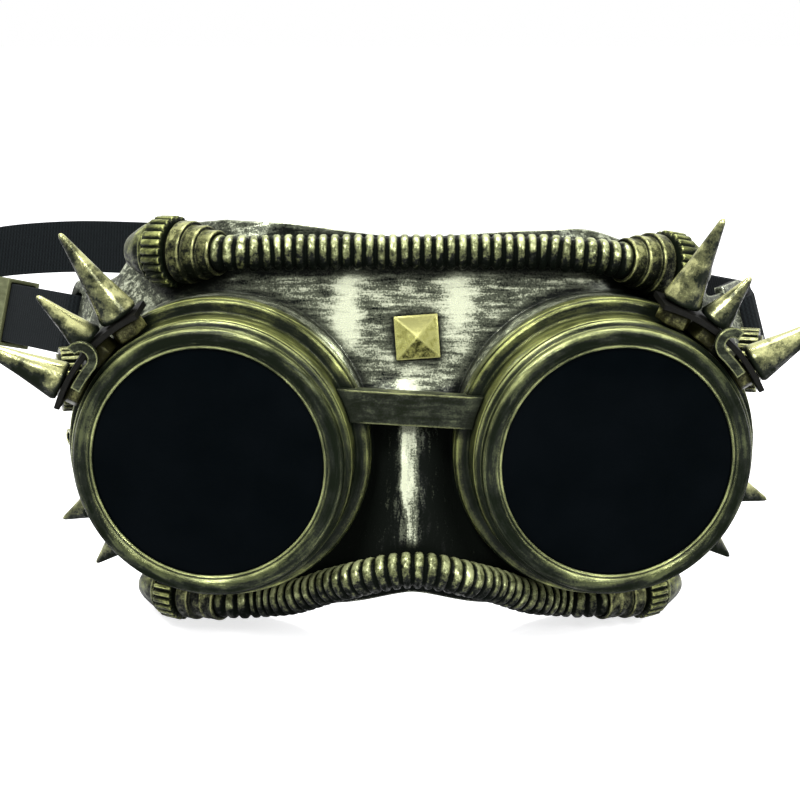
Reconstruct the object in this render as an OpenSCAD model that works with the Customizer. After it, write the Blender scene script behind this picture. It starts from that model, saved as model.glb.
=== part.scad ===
// Spiked goggles: a moulded face shell with two screw-rim eyepieces, ribbed hoses along the brow and
// the cheeks, studs round the temples and an elastic head strap with a slider.
// Axes: X across the face, Y towards the wearer, Z up. The origin is the face seat: the middle of the
// shell's front wall, level with the eyepiece axes. The right side is modelled and the left mirrors it.

/* [Eyepieces] */
// Distance from the middle plane to each eyepiece axis, where it meets its seat
eye_x = 43.2; // [42.5:0.1:45]
// Outward turn of each eyepiece axis, in degrees
eye_splay = 6; // [4:0.5:8]
// Position of the eyepiece seats in front of the face seat
seat_y = -1.1; // [-1.6:0.1:-0.9]
// How far the cup's flange stands out from the barrel
flange_step = 3.2; // [3:0.1:3.4]
// Thickness of the cup's flange
flange_t = 5; // [4:0.5:5]
// Height of the barrel's front edge above the seat
barrel_top = 11.9; // [11:0.1:12.4]
// Wall of the barrel
barrel_wall = 2.1; // [1.8:0.1:2.2]
// Radius of the view opening through the cup
view_r = 26; // [25.5:0.1:26.2]
// Wall of the inner sleeve that carries the gasket
sleeve_wall = 1.6; // [1.2:0.1:1.7]
// Height of the sleeve's front edge above the seat
sleeve_top = 13.2; // [13:0.1:13.5]
// How far the spigot that centres the cup in the shell stands out from the sleeve
spigot_wall = 0.4; // [0.3:0.1:0.6]
// Length of that spigot
spigot_len = 1.6; // [1:0.1:2]
// Radial clearance of the spigot in the shell
spigot_gap = 0.15; // [0.1:0.05:0.3]

/* [Rims and lenses] */
// How much smaller the screw-on rim is than the barrel, in radius
rim_step = 1.3; // [1:0.1:1.6]
// Height of the rim's front above the seat
rim_front = 17; // [16.8:0.1:18]
// How much smaller the bead at the rim's foot is than the barrel, in radius
bead_step = 0.1; // [0:0.1:0.3]
// Width of the bead at the rim's foot
bead_w = 1.4; // [1:0.1:1.6]
// How far the rim's lip reaches in past the view opening
lip_reach = 0.3; // [0.1:0.1:0.8]
// Thickness of the rim's lip
lip_t = 1.3; // [1:0.1:1.5]
// Radius of the roll round the rim's front edge
roll_r = 2.3; // [1.8:0.1:2.4]
// Length of the rim's tube inside the barrel
tube_len = 5.4; // [4:0.1:5.8]
// Wall of the rim's tube inside the barrel
tube_wall = 1.37; // [1.2:0.01:1.5]
// Radial running clearance of the rim's tube in the barrel
thread_gap = 0.08; // [0.04:0.01:0.1]
// Radial clearance of the rim's tube round the sleeve
sleeve_gap = 0.15; // [0.1:0.05:0.25]
// Gap between the rim's bead and the barrel's front edge
rim_gap = 0.3; // [0.2:0.05:0.4]
// Thickness of the dark lens
lens_t = 1.5; // [1.2:0.1:1.6]
// Clearance round the lens and the gasket
lens_gap = 0.12; // [0.08:0.02:0.2]
// Axial play of the lens between the lip and the gasket
lens_play = 0.05; // [0.02:0.01:0.1]
// Radial width of the gasket ring
gasket_w = 1.6; // [1.2:0.1:1.7]

/* [Face shell] */
// Wall of the moulded shell
wall = 2.4; // [2:0.1:2.8]
// Half width of the flat front, at the height of the eyes
flat_mid = 47.5; // [46:0.5:49]
// How much narrower the flat front is, at the height of the brow hose
flat_draw = 14.5; // [13:0.5:16]
// Height at which the brow and cheek sections are set
section_z = 44; // [43:0.5:45]
// Angle of the slanted cheek panels, in degrees
cheek_turn = 44; // [40:1:46]
// Angle of the temples, in degrees
temple_turn = 60; // [58:1:62]
// Length of the straight temple panels
temple_len = 14; // [13:0.5:15]
// How far the forehead leans back up to the brow hose
brow_lean = 8.7; // [7:0.1:9.5]
// How far the cheeks draw back down to the lower edge
chin_lean = 9; // [7:0.1:10]
// Extra set-back of the cheeks under the eyepieces
cheek_draw = 12; // [11:0.1:12.5]
// Height of the nose ridge between the eyepieces
nose_mid = 6; // [5:0.1:6.5]
// Extra height of the nose ridge lower down
nose_low = 5.4; // [4.5:0.1:6]
// Widest half width of the nose ridge
nose_half = 18; // [16:0.5:19]
// Height of the top edge in the middle
edge_top = 46.5; // [46:0.1:47]
// Rise of the top edge over the left eye
left_rise = 3.2; // [2.5:0.1:3.5]
// Rise of the top edge over the right eye
right_rise = 1.5; // [1:0.1:2.5]
// Height of the lower edge in the middle, below the axes
edge_low = 32.2; // [31.8:0.1:33]
// Drop of the lower edge from the middle to the cheeks
edge_drop = 17; // [16:0.5:18]
// How much smaller the moulded barrel that carries each cup is than the flange, in radius
boss_step = 0.3; // [0.1:0.1:0.7]
// Wall of that barrel
boss_wall = 2.4; // [2:0.1:2.8]
// Length of that barrel, before it is cut to the shell
boss_len = 27; // [25:1:28]

/* [Strap lugs] */
// Height of the strap on the temples
strap_z = 20; // [18.5:0.5:20.5]
// Direction of the lugs from the X axis, in degrees
lug_turn = 60; // [58:1:62]
// Lean of the lugs and of the strap, its top inwards, in degrees
strap_lean = 16; // [14:1:18]
// Height of the lug
lug_h = 23; // [22:0.5:25]
// Distance from the shell's edge to the lug's far end
lug_len = 12.5; // [12:0.1:14]
// Width of the strap bar at the lug's far end
bar_w = 3.2; // [3:0.1:3.4]
// Width of the slot
slot_w = 4; // [3.9:0.1:4.4]
// How much longer the slot is than the strap is wide
slot_play = 2; // [1.6:0.1:2.4]

/* [Bridge and stud] */
// Height of the bridge bar
bridge_h = 7.3; // [6:0.1:8]
// Thickness of the bridge bar
bridge_t = 3.4; // [2.5:0.1:3.8]
// Height of the bar's middle above the axes
bridge_z = 10.7; // [10:0.1:11.5]
// Distance of the bar's middle in front of the face seat
bridge_y = -10; // [-10.4:0.1:-9.5]
// Clockwise tilt of the bar, in degrees
bridge_tilt = 3.5; // [0:0.5:4]
// Clearance between the bar's ends and the barrels
bridge_gap = 0.15; // [0.1:0.05:0.3]
// Side of the pyramid stud
stud_w = 10; // [8:0.5:11]
// Height of the pyramid
stud_h = 3.6; // [3:0.1:5]
// Thickness of the stud's square base
stud_base = 0.9; // [0.6:0.1:1.2]
// Sideways offset of the stud
stud_x = 1.2; // [0:0.1:2]
// Height of the stud above the axes
stud_z = 24.2; // [23.5:0.1:25]
// Turn of the stud, in degrees
stud_turn = 4; // [0:1:6]

/* [Hoses] */
// Outer radius of the ribs
hose_r = 4.1; // [3.8:0.1:4.2]
// Depth of the grooves between the ribs
groove = 0.8; // [0.5:0.1:0.9]
// Radius of the bore
hose_bore = 2.4; // [2:0.1:2.6]
// Distance from rib to rib
rib_pitch = 2.6; // [2.5:0.1:3]
// Gap between a hose and the shell
hose_gap = 0.3; // [0.2:0.05:0.4]
// Lift of a hose from the shell at its ends
end_lift = 1; // [0.9:0.1:1.3]
// Turn of the fittings towards the temples, from the ends of the hoses, in degrees
fit_turn = 15; // [12:1:16]
// Height of the brow hose on the forehead
brow_line = 42.6; // [42:0.1:43]
// Drop of the brow hose at the left end
brow_drop_left = 1.2; // [0.5:0.1:2]
// Drop of the brow hose at the right end
brow_drop_right = 2.2; // [0.5:0.1:3]
// Height of the cheek hose at the nose, below the axes
arch_top = 25; // [24.8:0.1:26]
// Drop of the cheek hose from the nose to the cheeks
arch_drop = 14.4; // [14:0.1:15]
// Sideways spread of that arch
arch_spread = 23; // [22.5:0.5:24]

/* [Hose fittings] */
// Gap between a fitting's flat back and the shell
seat_gap = 0.45; // [0.3:0.05:0.5]
// Radii of the three steps of a brow collar
step_r = [5.1, 6.1, 7.1];
// Size of the cheek fittings, as a share of the brow fittings
cheek_size = 0.85; // [0.82:0.01:0.9]
// Clearance of a hose in the socket of its collar
socket_gap = 0.15; // [0.1:0.05:0.25]
// Length of a hose's straight end
end_len = 4.6; // [4:0.1:5]
// Distance from the hose's last bend to its collar
mouth_at = 1; // [0.8:0.1:1.4]
// Lengths of the three steps of a collar
step_len = [3.2, 3.4, 3.4];
// Radius of the neck behind the collar
neck_r = 6.2; // [5.8:0.1:6.6]
// Length of that neck
neck_len = 1; // [0.8:0.1:1.4]
// Radius of the knurled ring, over its teeth
knurl_r = 8.2; // [7.8:0.1:8.4]
// Depth of the knurling
knurl_depth = 0.8; // [0.5:0.1:1]
// Width of the knurled ring
knurl_w = 5; // [4:0.1:6]
// Teeth round the knurled ring
knurl_teeth = 24; // [18:1:28]
// Length of the end cap
cap_len = 8.5; // [7:0.5:10]
// Radius of the end cap at its foot
cap_r = 7.3; // [6.8:0.1:7.4]
// Radius of the end cap at its nose
cap_nose = 4; // [3:0.1:4.5]

/* [Studs] */
// Distance of the spike row above the seat
spike_z = 9.2; // [9:0.1:9.5]
// Forward lean of the spikes, in degrees
spike_lean = 8; // [4:1:9]
// Positions of the spikes round the left eyepiece, in degrees above sideways
left_spikes = [57.5, 43.5, 26];
// Positions of the spikes round the right eyepiece, in degrees above sideways
right_spikes = [67, 53.5, 32.5];
// Lengths of the left spikes, from the top
left_len = [22, 15, 22];
// Lengths of the right spikes, from the top
right_len = [20.5, 12.5, 22];
// Base radius of the first, second and third spike
spike_r = [4.5, 3.9, 4.5];
// Radius of a spike's rounded point
spike_tip = 0.7; // [0.5:0.1:0.9]
// Radius of a spike's shank
shank_r = 1.5; // [1.2:0.1:1.8]
// Clearance round a shank
shank_gap = 0.1; // [0.05:0.05:0.2]
// Width across the flats of the nuts
nut_flats = 7; // [6.6:0.1:7.1]
// Height of the nuts
nut_h = 3.2; // [2.8:0.1:3.4]
// Distance of the nuts' feet from the barrel
nut_gap = 0.8; // [0.7:0.05:1]
// Thickness of the band under the spikes
band_t = 1.3; // [1:0.1:1.5]
// Width of the band under the spikes
band_w = 10.5; // [9.5:0.1:11]
// How far the band runs past the outer spikes, in degrees
band_end = 7.5; // [6:0.5:8]
// Gap between stacked pieces
stack_gap = 0.1; // [0.05:0.05:0.15]
// Positions of the short cones round the left eyepiece, in degrees below sideways
left_cones = [27, 44];
// Positions of the short cones round the right eyepiece, in degrees below sideways
right_cones = [21, 42];
// Length of the short cones
cone_len = 10; // [8:0.5:11]
// Base radius of the short cones
cone_r = 3.7; // [3:0.1:4]
// Distance of the short cones behind the seat
cone_z = 4.6; // [4.2:0.1:5]

/* [Side pieces] */
// Radius of the knurled side disc
disc_r = 7.6; // [6.5:0.1:8]
// Thickness of the knurled side disc
disc_t = 4.4; // [3.5:0.1:5]
// Forward turn of the disc's axis from sideways, in degrees
disc_turn = 16; // [12:1:20]
// Height of the left disc above the axes
left_disc_z = 12; // [11:0.5:13]
// Height of the right disc above the axes
right_disc_z = 16; // [14:0.5:17]
// Radius of the disc's stem
stem_r = 3.2; // [2.5:0.1:3.6]
// Thickness of the hooked clip beside the third spike
clip_t = 1.2; // [1:0.1:1.5]
// Width of the hooked clip
clip_w = 2.2; // [1.8:0.1:2.4]
// Radius of the side bolt's head
bolt_head_r = 2; // [1.6:0.1:2.4]
// Height of the side bolt's head
bolt_head_h = 2.2; // [1.6:0.1:2.6]
// Radius of the washer under the side bolt
washer_r = 3.4; // [3:0.1:3.8]
// Thickness of that washer
washer_t = 1.2; // [0.9:0.1:1.5]
// Height of the side bolt below the axes
bolt_z = 4; // [3:0.5:5]

/* [Head strap] */
// Width of the elastic strap
strap_w = 15; // [14:0.5:16]
// Thickness of the elastic strap
strap_t = 1.3; // [1:0.1:1.5]
// Distance between the middles of the strap's two layers
layer_gap = 5.8; // [5.6:0.1:6.2]
// Direction of the strap at the left temple from the X axis, in degrees
left_run = 42; // [40:1:44]
// Direction of the strap at the right temple from the X axis, in degrees
right_run = 84; // [82:1:86]
// Length of the straight doubled stretch on the left
doubled_len = 58; // [56:1:60]
// Length of the sewn end on the right
sewn_len = 20; // [16:1:24]
// Distance from the left strap bar to the slider's middle
slider_at = 33; // [32:0.5:34]
// Length of the slider along the strap
slider_len = 22; // [20:0.5:24]
// Wall of the slider
slider_wall = 0.9; // [0.7:0.1:1]
// Clearance inside the slider
slider_gap = 0.35; // [0.3:0.05:0.4]
// Radius of the slider's middle bar
slider_bar_r = 1.5; // [1.2:0.1:1.6]

/* [Hidden] */
$fn = 64;
eps = 0.01;

// Radii of an eyepiece, from the view opening outwards
barrel_r = view_r + sleeve_wall + sleeve_gap + tube_wall + thread_gap + barrel_wall;
flange_r = barrel_r + flange_step;
boss_r = flange_r - boss_step;
rim_r = barrel_r - rim_step;
bead_r = barrel_r - bead_step;
aperture_r = view_r - lip_reach;
nut_foot = barrel_r + nut_gap;

brass = [0.55, 0.52, 0.30];
dark = [0.12, 0.12, 0.11];
gold = [0.75, 0.70, 0.38];
black = [0.05, 0.06, 0.07];

function smooth(t) = let (c = min(max(t, 0), 1)) c * c * (3 - 2 * c);
function unit(v) = v / norm(v);
function last(list) = list[len(list) - 1];
// Total of the first n values of a list
function total(list, n) = n <= 0 ? 0 : list[n - 1] + total(list, n - 1);

// Parts of the plan curve, from the middle to the temple's edge, as shares of the run
PLAN = [0.42, 0.62, 0.74, 0.88, 1];
function level(z) = abs(z) / section_z;
function flat_half(z) = flat_mid - flat_draw * pow(level(z), 2.2);
function first_bend(z) = 28 - 4 * pow(level(z), 2);
function panel_len(z) = 4 + 16 * pow(level(z), 2);
function second_bend(z) = 28 - 16 * pow(level(z), 2);
// Point of the plan curve for a share of the run, 0 in the middle
function plan(s, z) =
    let (f = flat_half(z), r1 = first_bend(z), l1 = panel_len(z), r2 = second_bend(z))
    let (x1 = f + r1 * sin(cheek_turn), y1 = r1 * (1 - cos(cheek_turn)))
    let (x2 = x1 + l1 * cos(cheek_turn), y2 = y1 + l1 * sin(cheek_turn))
    let (x3 = x2 + r2 * (sin(temple_turn) - sin(cheek_turn)))
    let (y3 = y2 + r2 * (cos(cheek_turn) - cos(temple_turn)))
    s < PLAN[0] ? [f * pow(s / PLAN[0], 1.2), 0]
    : s < PLAN[1] ? let (a = cheek_turn * (s - PLAN[0]) / (PLAN[1] - PLAN[0]))
        [f + r1 * sin(a), r1 * (1 - cos(a))]
    : s < PLAN[2] ? let (k = (s - PLAN[1]) / (PLAN[2] - PLAN[1])) [x1 + k * (x2 - x1), y1 + k * (y2 - y1)]
    : s < PLAN[3] ? let (a = cheek_turn + (temple_turn - cheek_turn) * (s - PLAN[2]) / (PLAN[3] - PLAN[2]))
        [x2 + r2 * (sin(a) - sin(cheek_turn)), y2 + r2 * (cos(cheek_turn) - cos(a))]
    : let (k = temple_len * (s - PLAN[3]) / (PLAN[4] - PLAN[3]))
        [x3 + k * cos(temple_turn), y3 + k * sin(temple_turn)];

// Lean of the face, the nose ridge and the drawn-in cheeks
function lean(z) = z > 0 ? brow_lean * pow(level(z), 1.15) : chin_lean * pow(level(z), 3) * 0.7;
function eye_room(z) = eye_x - sqrt(max(pow(flange_r + 0.2, 2) - z * z, 0));
function nose(x, z) =
    (nose_mid * smooth((18 - z) / 16) + nose_low * smooth((2 - z) / 26))
    * exp(-pow(abs(x) / min(0.9 * eye_room(z), nose_half), 3));
function cheek(x, z) = cheek_draw * smooth((-31 - z) / 11) * smooth((abs(x) - 8) / 34);
// Outer surface of the shell: s runs from -1 at the left temple to 1 at the right
function face(s, z) =
    let (p = plan(abs(s), z))
    [sign(s) * p[0], p[1] + seat_y + lean(z) - nose(p[0], z) + cheek(p[0], z), z];
function outward(s, z) =
    let (h = 0.004)
    unit(cross(face(min(s + h, 1), z) - face(max(s - h, -1), z), face(s, z + 0.3) - face(s, z - 0.3)));
function on_face(s, z, lift) = face(s, z) + outward(s, z) * lift;
function top_edge(s) =
    edge_top + (s < 0 ? left_rise : right_rise) * smooth((abs(s) - 0.05) / 0.43)
    - 18.5 * smooth((abs(s) - (s < 0 ? 0.58 : 0.5)) / 0.42);
function low_edge(s) =
    -edge_low - edge_drop * (1 - exp(-pow(s / 0.33, 2))) + 24 * smooth((abs(s) - 0.62) / 0.38);

// Columns of the shell's grid: closer where the nose and the bends are
function spread(from, to, n, power = 1) = [for (i = [0 : n - 1]) from + (to - from) * pow(i / n, power)];
half_columns = concat(spread(0, PLAN[0], 10), spread(PLAN[0], PLAN[1], 5), spread(PLAN[1], PLAN[2], 2),
    spread(PLAN[2], PLAN[3], 2), spread(PLAN[3], PLAN[4], 3), [1]);
columns = concat([for (i = [len(half_columns) - 1 : -1 : 1]) -half_columns[i]], half_columns);
ROWS = 18;
function row_z(s, k) = low_edge(s) + (top_edge(s) - low_edge(s)) * k / ROWS;

// A closed solid between two point grids of the same size, front and back
module grid_solid(front, back) {
    n = len(front);
    m = len(front[0]);
    function id(i, j) = i * m + j;
    b = n * m;
    points = [for (g = [front, back]) for (line = g) for (p = line) p];
    sheet = [for (i = [0 : n - 2]) for (j = [0 : m - 2])
        let (a = id(i, j), b = id(i, j + 1), c = id(i + 1, j + 1), d = id(i + 1, j))
        for (t = [[a, b, c], [a, c, d]]) t];
    rim = concat([for (i = [0 : n - 1]) id(i, 0)], [for (j = [1 : m - 1]) id(n - 1, j)],
        [for (i = [n - 2 : -1 : 0]) id(i, m - 1)], [for (j = [m - 2 : -1 : 1]) id(0, j)]);
    k = len(rim);
    edge = [for (i = [0 : k - 1]) let (p = rim[i], q = rim[(i + 1) % k])
        for (t = [[p, q, q + b], [p, q + b, p + b]]) t];
    polyhedron(points, concat(sheet, [for (t = sheet) [t[0] + b, t[2] + b, t[1] + b]],
        [for (t = edge) [t[0], t[2], t[1]]]));
}

// Local frame of an eyepiece: z out along its axis, x outwards from the nose, y up, 0 at the seat
module at_eye(side) {
    mirror([side < 0 ? 1 : 0, 0, 0]) translate([eye_x, seat_y, 0]) rotate([0, 0, eye_splay])
        rotate([90, 0, 0]) children();
}

// A wedge round the local z axis, between two angles
module wedge(from, to, r, z0, z1) {
    mid = (from + to) / 2;
    translate([0, 0, z0]) linear_extrude(z1 - z0)
        polygon([[0, 0], r * [cos(from), sin(from)], 1.3 * r * [cos(mid), sin(mid)],
            r * [cos(to), sin(to)]]);
}

// Outline for a revolve: corners are [radius, height] pairs
module ring(corners) { rotate_extrude() polygon(corners); }

hole_r = view_r + sleeve_wall + spigot_wall;
module shell_wall() {
    front = [for (s = columns) [for (k = [0 : ROWS]) face(s, row_z(s, k))]];
    back = [for (s = columns) [for (k = [0 : ROWS]) on_face(s, row_z(s, k), -wall)]];
    grid_solid(front, back);
}

// Everything behind the middle of the shell's wall, round one eyepiece
module behind_wall() {
    lines = concat(spread(0.02, PLAN[0], 4), spread(PLAN[0], PLAN[1], 5), spread(PLAN[1], PLAN[2], 1),
        spread(PLAN[2], 1, 4), [1]);
    front = [for (s = lines) [for (k = [-6 : 6]) on_face(s, (boss_r + 5) * k / 6, -wall / 2)]];
    grid_solid(front, [for (line = front) [for (p = line) [p[0], 60, p[2]]]]);
}

module eye_boss() {
    difference() {
        translate([eye_x, seat_y, 0]) rotate([0, 0, eye_splay]) rotate([90, 0, 0])
            translate([0, 0, -boss_len]) difference() {
                cylinder(r = boss_r, h = boss_len);
                translate([0, 0, -1]) cylinder(r = boss_r - boss_wall, h = boss_len + 2);
            }
        behind_wall();
    }
}

lug_root = on_face(1, strap_z, -wall / 2);
// Local frame of a strap lug: x along the strap, z up its width, y inwards through its thickness
module at_lug(side) {
    mirror([side < 0 ? 1 : 0, 0, 0]) translate(lug_root) rotate([0, 0, lug_turn])
        rotate([-strap_lean, 0, 0]) children();
}
bar_at = lug_len - bar_w / 2;
module lug() {
    r = 4;
    slot_h = strap_w + slot_play;
    rotate([90, 0, 0]) linear_extrude(wall, center = true) difference() {
        union() {
            translate([-3, -lug_h / 2]) square([lug_len + 3 - r, lug_h]);
            for (y = [-1, 1]) translate([lug_len - r, y * (lug_h / 2 - r)]) circle(r);
            translate([lug_len - r, -lug_h / 2 + r]) square([r, lug_h - 2 * r]);
        }
        translate([lug_len - bar_w - slot_w, -slot_h / 2]) square([slot_w, slot_h]);
    }
}

module face_shell() {
    color(brass) difference() {
        union() {
            shell_wall();
            eye_boss();
            mirror([1, 0, 0]) eye_boss();
            for (side = [-1, 1]) at_lug(side) lug();
        }
        for (side = [-1, 1]) at_eye(side) {
            translate([0, 0, -12]) cylinder(r = hole_r, h = 30);
            cylinder(r = flange_r + 0.15, h = 20);
        }
    }
}

module eye_cup(side) {
    spigot_r = hole_r - spigot_gap;
    inner = barrel_r - barrel_wall;
    sleeve_r = view_r + sleeve_wall;
    color(brass) at_eye(side) ring([[view_r, -spigot_len], [spigot_r, -spigot_len], [spigot_r, 0],
        [flange_r - 0.6, 0], [flange_r, 0.6], [flange_r, flange_t - 0.8], [flange_r - 0.8, flange_t],
        [barrel_r, flange_t], [barrel_r, barrel_top - 0.3], [barrel_r - 0.3, barrel_top],
        [inner, barrel_top], [inner, flange_t], [sleeve_r, flange_t], [sleeve_r, sleeve_top],
        [view_r, sleeve_top]]);
}

// Faces of the stack inside a rim, from the front
lip_back = rim_front - lip_t;
lens_back = lip_back - lens_play - lens_t;
gasket_back = sleeve_top + lens_play;
rim_foot = barrel_top + rim_gap;
tube_r = barrel_r - barrel_wall - thread_gap;
tube_in = view_r + sleeve_wall + sleeve_gap;
module rim(side) {
    color(gold) at_eye(side) difference() {
        union() {
            translate([0, 0, rim_foot - tube_len]) cylinder(r = tube_r, h = tube_len + 1);
            translate([0, 0, rim_foot]) cylinder(r = bead_r, h = bead_w);
            translate([0, 0, rim_foot + bead_w]) cylinder(r1 = bead_r - 0.5, r2 = rim_r, h = 0.4);
            translate([0, 0, rim_foot]) cylinder(r = rim_r, h = rim_front - roll_r - rim_foot);
            translate([0, 0, rim_front - roll_r]) rotate_extrude() translate([rim_r - roll_r, 0])
                circle(roll_r);
            translate([0, 0, rim_front - roll_r - 0.5]) cylinder(r = rim_r - roll_r, h = roll_r + 0.5);
        }
        translate([0, 0, -1]) cylinder(r = tube_in, h = lip_back + 1);
        translate([0, 0, -1]) cylinder(r = aperture_r, h = 40);
        translate([0, 0, rim_front - 1]) cylinder(r1 = aperture_r + 0.4, r2 = rim_r - roll_r, h = 1 + eps);
    }
}

module lens(side) {
    r = tube_in - lens_gap;
    color(black) at_eye(side) translate([0, 0, lens_back]) cylinder(r = r, h = lens_t);
}

module gasket(side) {
    r = tube_in - lens_gap;
    h = lens_back - lens_play - gasket_back;
    color(dark) at_eye(side) translate([0, 0, gasket_back]) difference() {
        cylinder(r = r, h = h);
        translate([0, 0, -1]) cylinder(r = r - gasket_w, h = h + 2);
    }
}

module bridge_bar() {
    color(brass) difference() {
        translate([0, bridge_y, bridge_z]) rotate([0, bridge_tilt, 0])
            cube([2 * (eye_x - barrel_r) + 12, bridge_t, bridge_h], center = true);
        for (side = [-1, 1]) at_eye(side) {
            cylinder(r = barrel_r + bridge_gap, h = 40);
            cylinder(r = flange_r + bridge_gap, h = flange_t + bridge_gap);
        }
    }
}

stud_slope = atan2(face(0, stud_z + 4)[1] - face(0, stud_z - 4)[1], 8);
module pyramid_stud() {
    half = stud_w / 2;
    color(gold) translate([stud_x, face(0, stud_z)[1] - 0.25, stud_z]) rotate([-stud_slope, 0, 0])
        rotate([0, -stud_turn, 0]) rotate([90, 0, 0]) union() {
            translate([-half, -half, 0]) cube([stud_w, stud_w, stud_base]);
            translate([0, 0, stud_base - eps]) rotate([0, 0, 45])
                cylinder(r1 = (half - 0.4) * sqrt(2), r2 = 0.3, h = stud_h, $fn = 4);
        }
}

// Hose routes: points over the shell's surface, then a straight end for the fitting
brow_ends = [0.487, 0.515];
cheek_ends = [0.5, 0.5];
function brow_z(s) =
    brow_line - (s < 0 ? brow_drop_left : brow_drop_right) * pow(max(abs(s) - 0.36, 0) / 0.13, 1.8);
function end_rise(s) = end_lift * smooth((abs(s) - 0.36) / 0.11);
function brow_point(s) = on_face(s, brow_z(s), hose_r + hose_gap + end_rise(s));
// The larger of two values, with a soft change from one to the other
function soft_max(a, b, k) = max(a, b) + k * ln(1 + exp(-abs(a - b) / k));
// The cheek hose dips from the nose and runs round under the flanges
function cheek_z(s) =
    let (x = plan(abs(s), -36)[0], r = flange_r + hose_r + hose_gap)
    -soft_max(arch_top + arch_drop * (1 - exp(-pow(x / arch_spread, 2))),
        sqrt(max(r * r - pow(x - eye_x, 2), 0)), 0.8);
// It stands off the shell straight to the front
function cheek_point(s) =
    let (z = cheek_z(s), f = face(s, z), n = outward(s, z))
    [f[0], f[1] - (hose_r + hose_gap + end_rise(s)) / max(0.52, -n[1]), z];
function route(kind, s) = kind == 0 ? brow_point(s) : cheek_point(s);
function route_end(kind, side) = (kind == 0 ? brow_ends : cheek_ends)[side < 0 ? 0 : 1];
function end_point(kind, side) = route(kind, side * route_end(kind, side));
// Direction of a hose's straight end and of its fitting
function end_way(kind, side) =
    let (w = unit(end_point(kind, side) - route(kind, side * (route_end(kind, side) - 0.008))))
    let (a = side * fit_turn)
    [w[0] * cos(a) - w[1] * sin(a), w[0] * sin(a) + w[1] * cos(a), w[2]];

// A point every small step along a route, its straight ends included
function walked(kind) =
    let (a = -route_end(kind, -1), b = route_end(kind, 1), n = 90)
    concat([end_point(kind, -1) + end_way(kind, -1) * end_len],
        [for (i = [0 : n]) route(kind, a + (b - a) * i / n)],
        [end_point(kind, 1) + end_way(kind, 1) * end_len]);
function lengths(path) = [for (i = 1, t = norm(path[1] - path[0]); i <= len(path);
    i = i + 1, t = t + (i < len(path) ? norm(path[i] - path[i - 1]) : 0)) t];
// Point at a distance along a list of points
function along(path, sums, d, i = 1) =
    i >= len(path) - 1 || sums[i - 1] >= d
    ? let (a = i == 1 ? 0 : sums[i - 2], k = (d - a) / (sums[i - 1] - a))
        path[i - 1] + k * (path[i] - path[i - 1])
    : along(path, sums, d, i + 1);
// Corners of an 8-sided ring square to the way, at the middle c
function hoop(c, way, r) =
    let (u = unit(cross(way, [0, 0, 1])), v = cross(u, way))
    [for (k = [0 : 7]) c + r * (cos(45 * k + 22.5) * u + sin(45 * k + 22.5) * v)];

// Skin between hoops, wound outwards or inwards
function skin(n, first, flip) = [for (i = [0 : n - 2]) for (k = [0 : 7])
    let (a = first + 8 * i + k, b = first + 8 * i + (k + 1) % 8)
    for (t = [[a, b, b + 8], [a, b + 8, a + 8]]) flip ? [t[0], t[2], t[1]] : t];
module hose(kind) {
    path = walked(kind);
    sums = lengths(path);
    len_all = last(sums);
    n = round(len_all / rib_pitch);
    at = [for (i = [0 : 2 * n]) along(path, sums, len_all * i / (2 * n))];
    way = [for (i = [0 : 2 * n]) unit(at[min(i + 1, 2 * n)] - at[max(i - 1, 0)])];
    outer = [for (i = [0 : 2 * n]) hoop(at[i], way[i], i % 2 == 0 ? hose_r - groove : hose_r)];
    bore = [for (i = [0 : 2 : 2 * n]) hoop(at[i], way[i], hose_bore)];
    no = len(outer);
    nb = len(bore);
    far_out = 8 * (no - 1);
    far_in = 8 * (no + nb - 1);
    ends = [for (k = [0 : 7]) let (j = (k + 1) % 8)
        for (t = [[k, j, 8 * no + j], [k, 8 * no + j, 8 * no + k],
            [far_out + k, far_in + j, far_out + j], [far_out + k, far_in + k, far_in + j]])
        [t[0], t[2], t[1]]];
    polyhedron([for (h = concat(outer, bore)) for (p = h) p],
        concat(skin(no, 0, false), skin(nb, 8 * no, true), ends));
}

// Local frame of a hose fitting: z along the hose's end, 0 at the collar's mouth
module at_fitting(kind, side) {
    w = end_way(kind, side);
    translate(end_point(kind, side) + w * mouth_at) rotate([0, acos(w[2]), atan2(w[1], w[0])]) children();
}
// Everything behind the shell's surface where a fitting sits
module behind_face(kind, side) {
    lines = concat(spread(0.36, PLAN[1], 7), spread(PLAN[1], PLAN[2], 2), spread(PLAN[2], 1, 5));
    mid = end_point(kind, side)[2];
    front = [for (s = lines) [for (k = [-3 : 3]) on_face(s, mid + 4 * k, seat_gap)]];
    mirror([side < 0 ? 1 : 0, 0, 0]) grid_solid(front, [for (line = front) [for (p = line) [p[0], 60, p[2]]]]);
}
// A fitting is flat at the back, where it sits on the shell
module seated(kind, side) {
    difference() {
        at_fitting(kind, side) children();
        behind_face(kind, side);
    }
}
function fit(kind, r) = kind == 0 ? r : r * cheek_size;
collar_len = total(step_len, 3);
socket_len = end_len - mouth_at + stack_gap;
module collar(kind, side) {
    r0 = max(fit(kind, step_r[0]), hose_r + socket_gap + 0.8);
    r1 = fit(kind, step_r[1]);
    r2 = fit(kind, step_r[2]);
    z1 = step_len[0];
    z2 = z1 + step_len[1];
    c = 0.5;
    rn = fit(kind, neck_r);
    socket = hose_r + socket_gap;
    color(brass) seated(kind, side) ring([[socket, 0], [r0 - c, 0], [r0, c], [r0, z1], [r1 - c / 2, z1],
        [r1, z1 + c / 2], [r1, z2], [r2 - c / 2, z2], [r2, z2 + c / 2], [r2, collar_len - c],
        [r2 - c, collar_len], [rn, collar_len], [rn, collar_len + neck_len],
        [hose_bore, collar_len + neck_len], [hose_bore, socket_len], [socket, socket_len]]);
}
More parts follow.
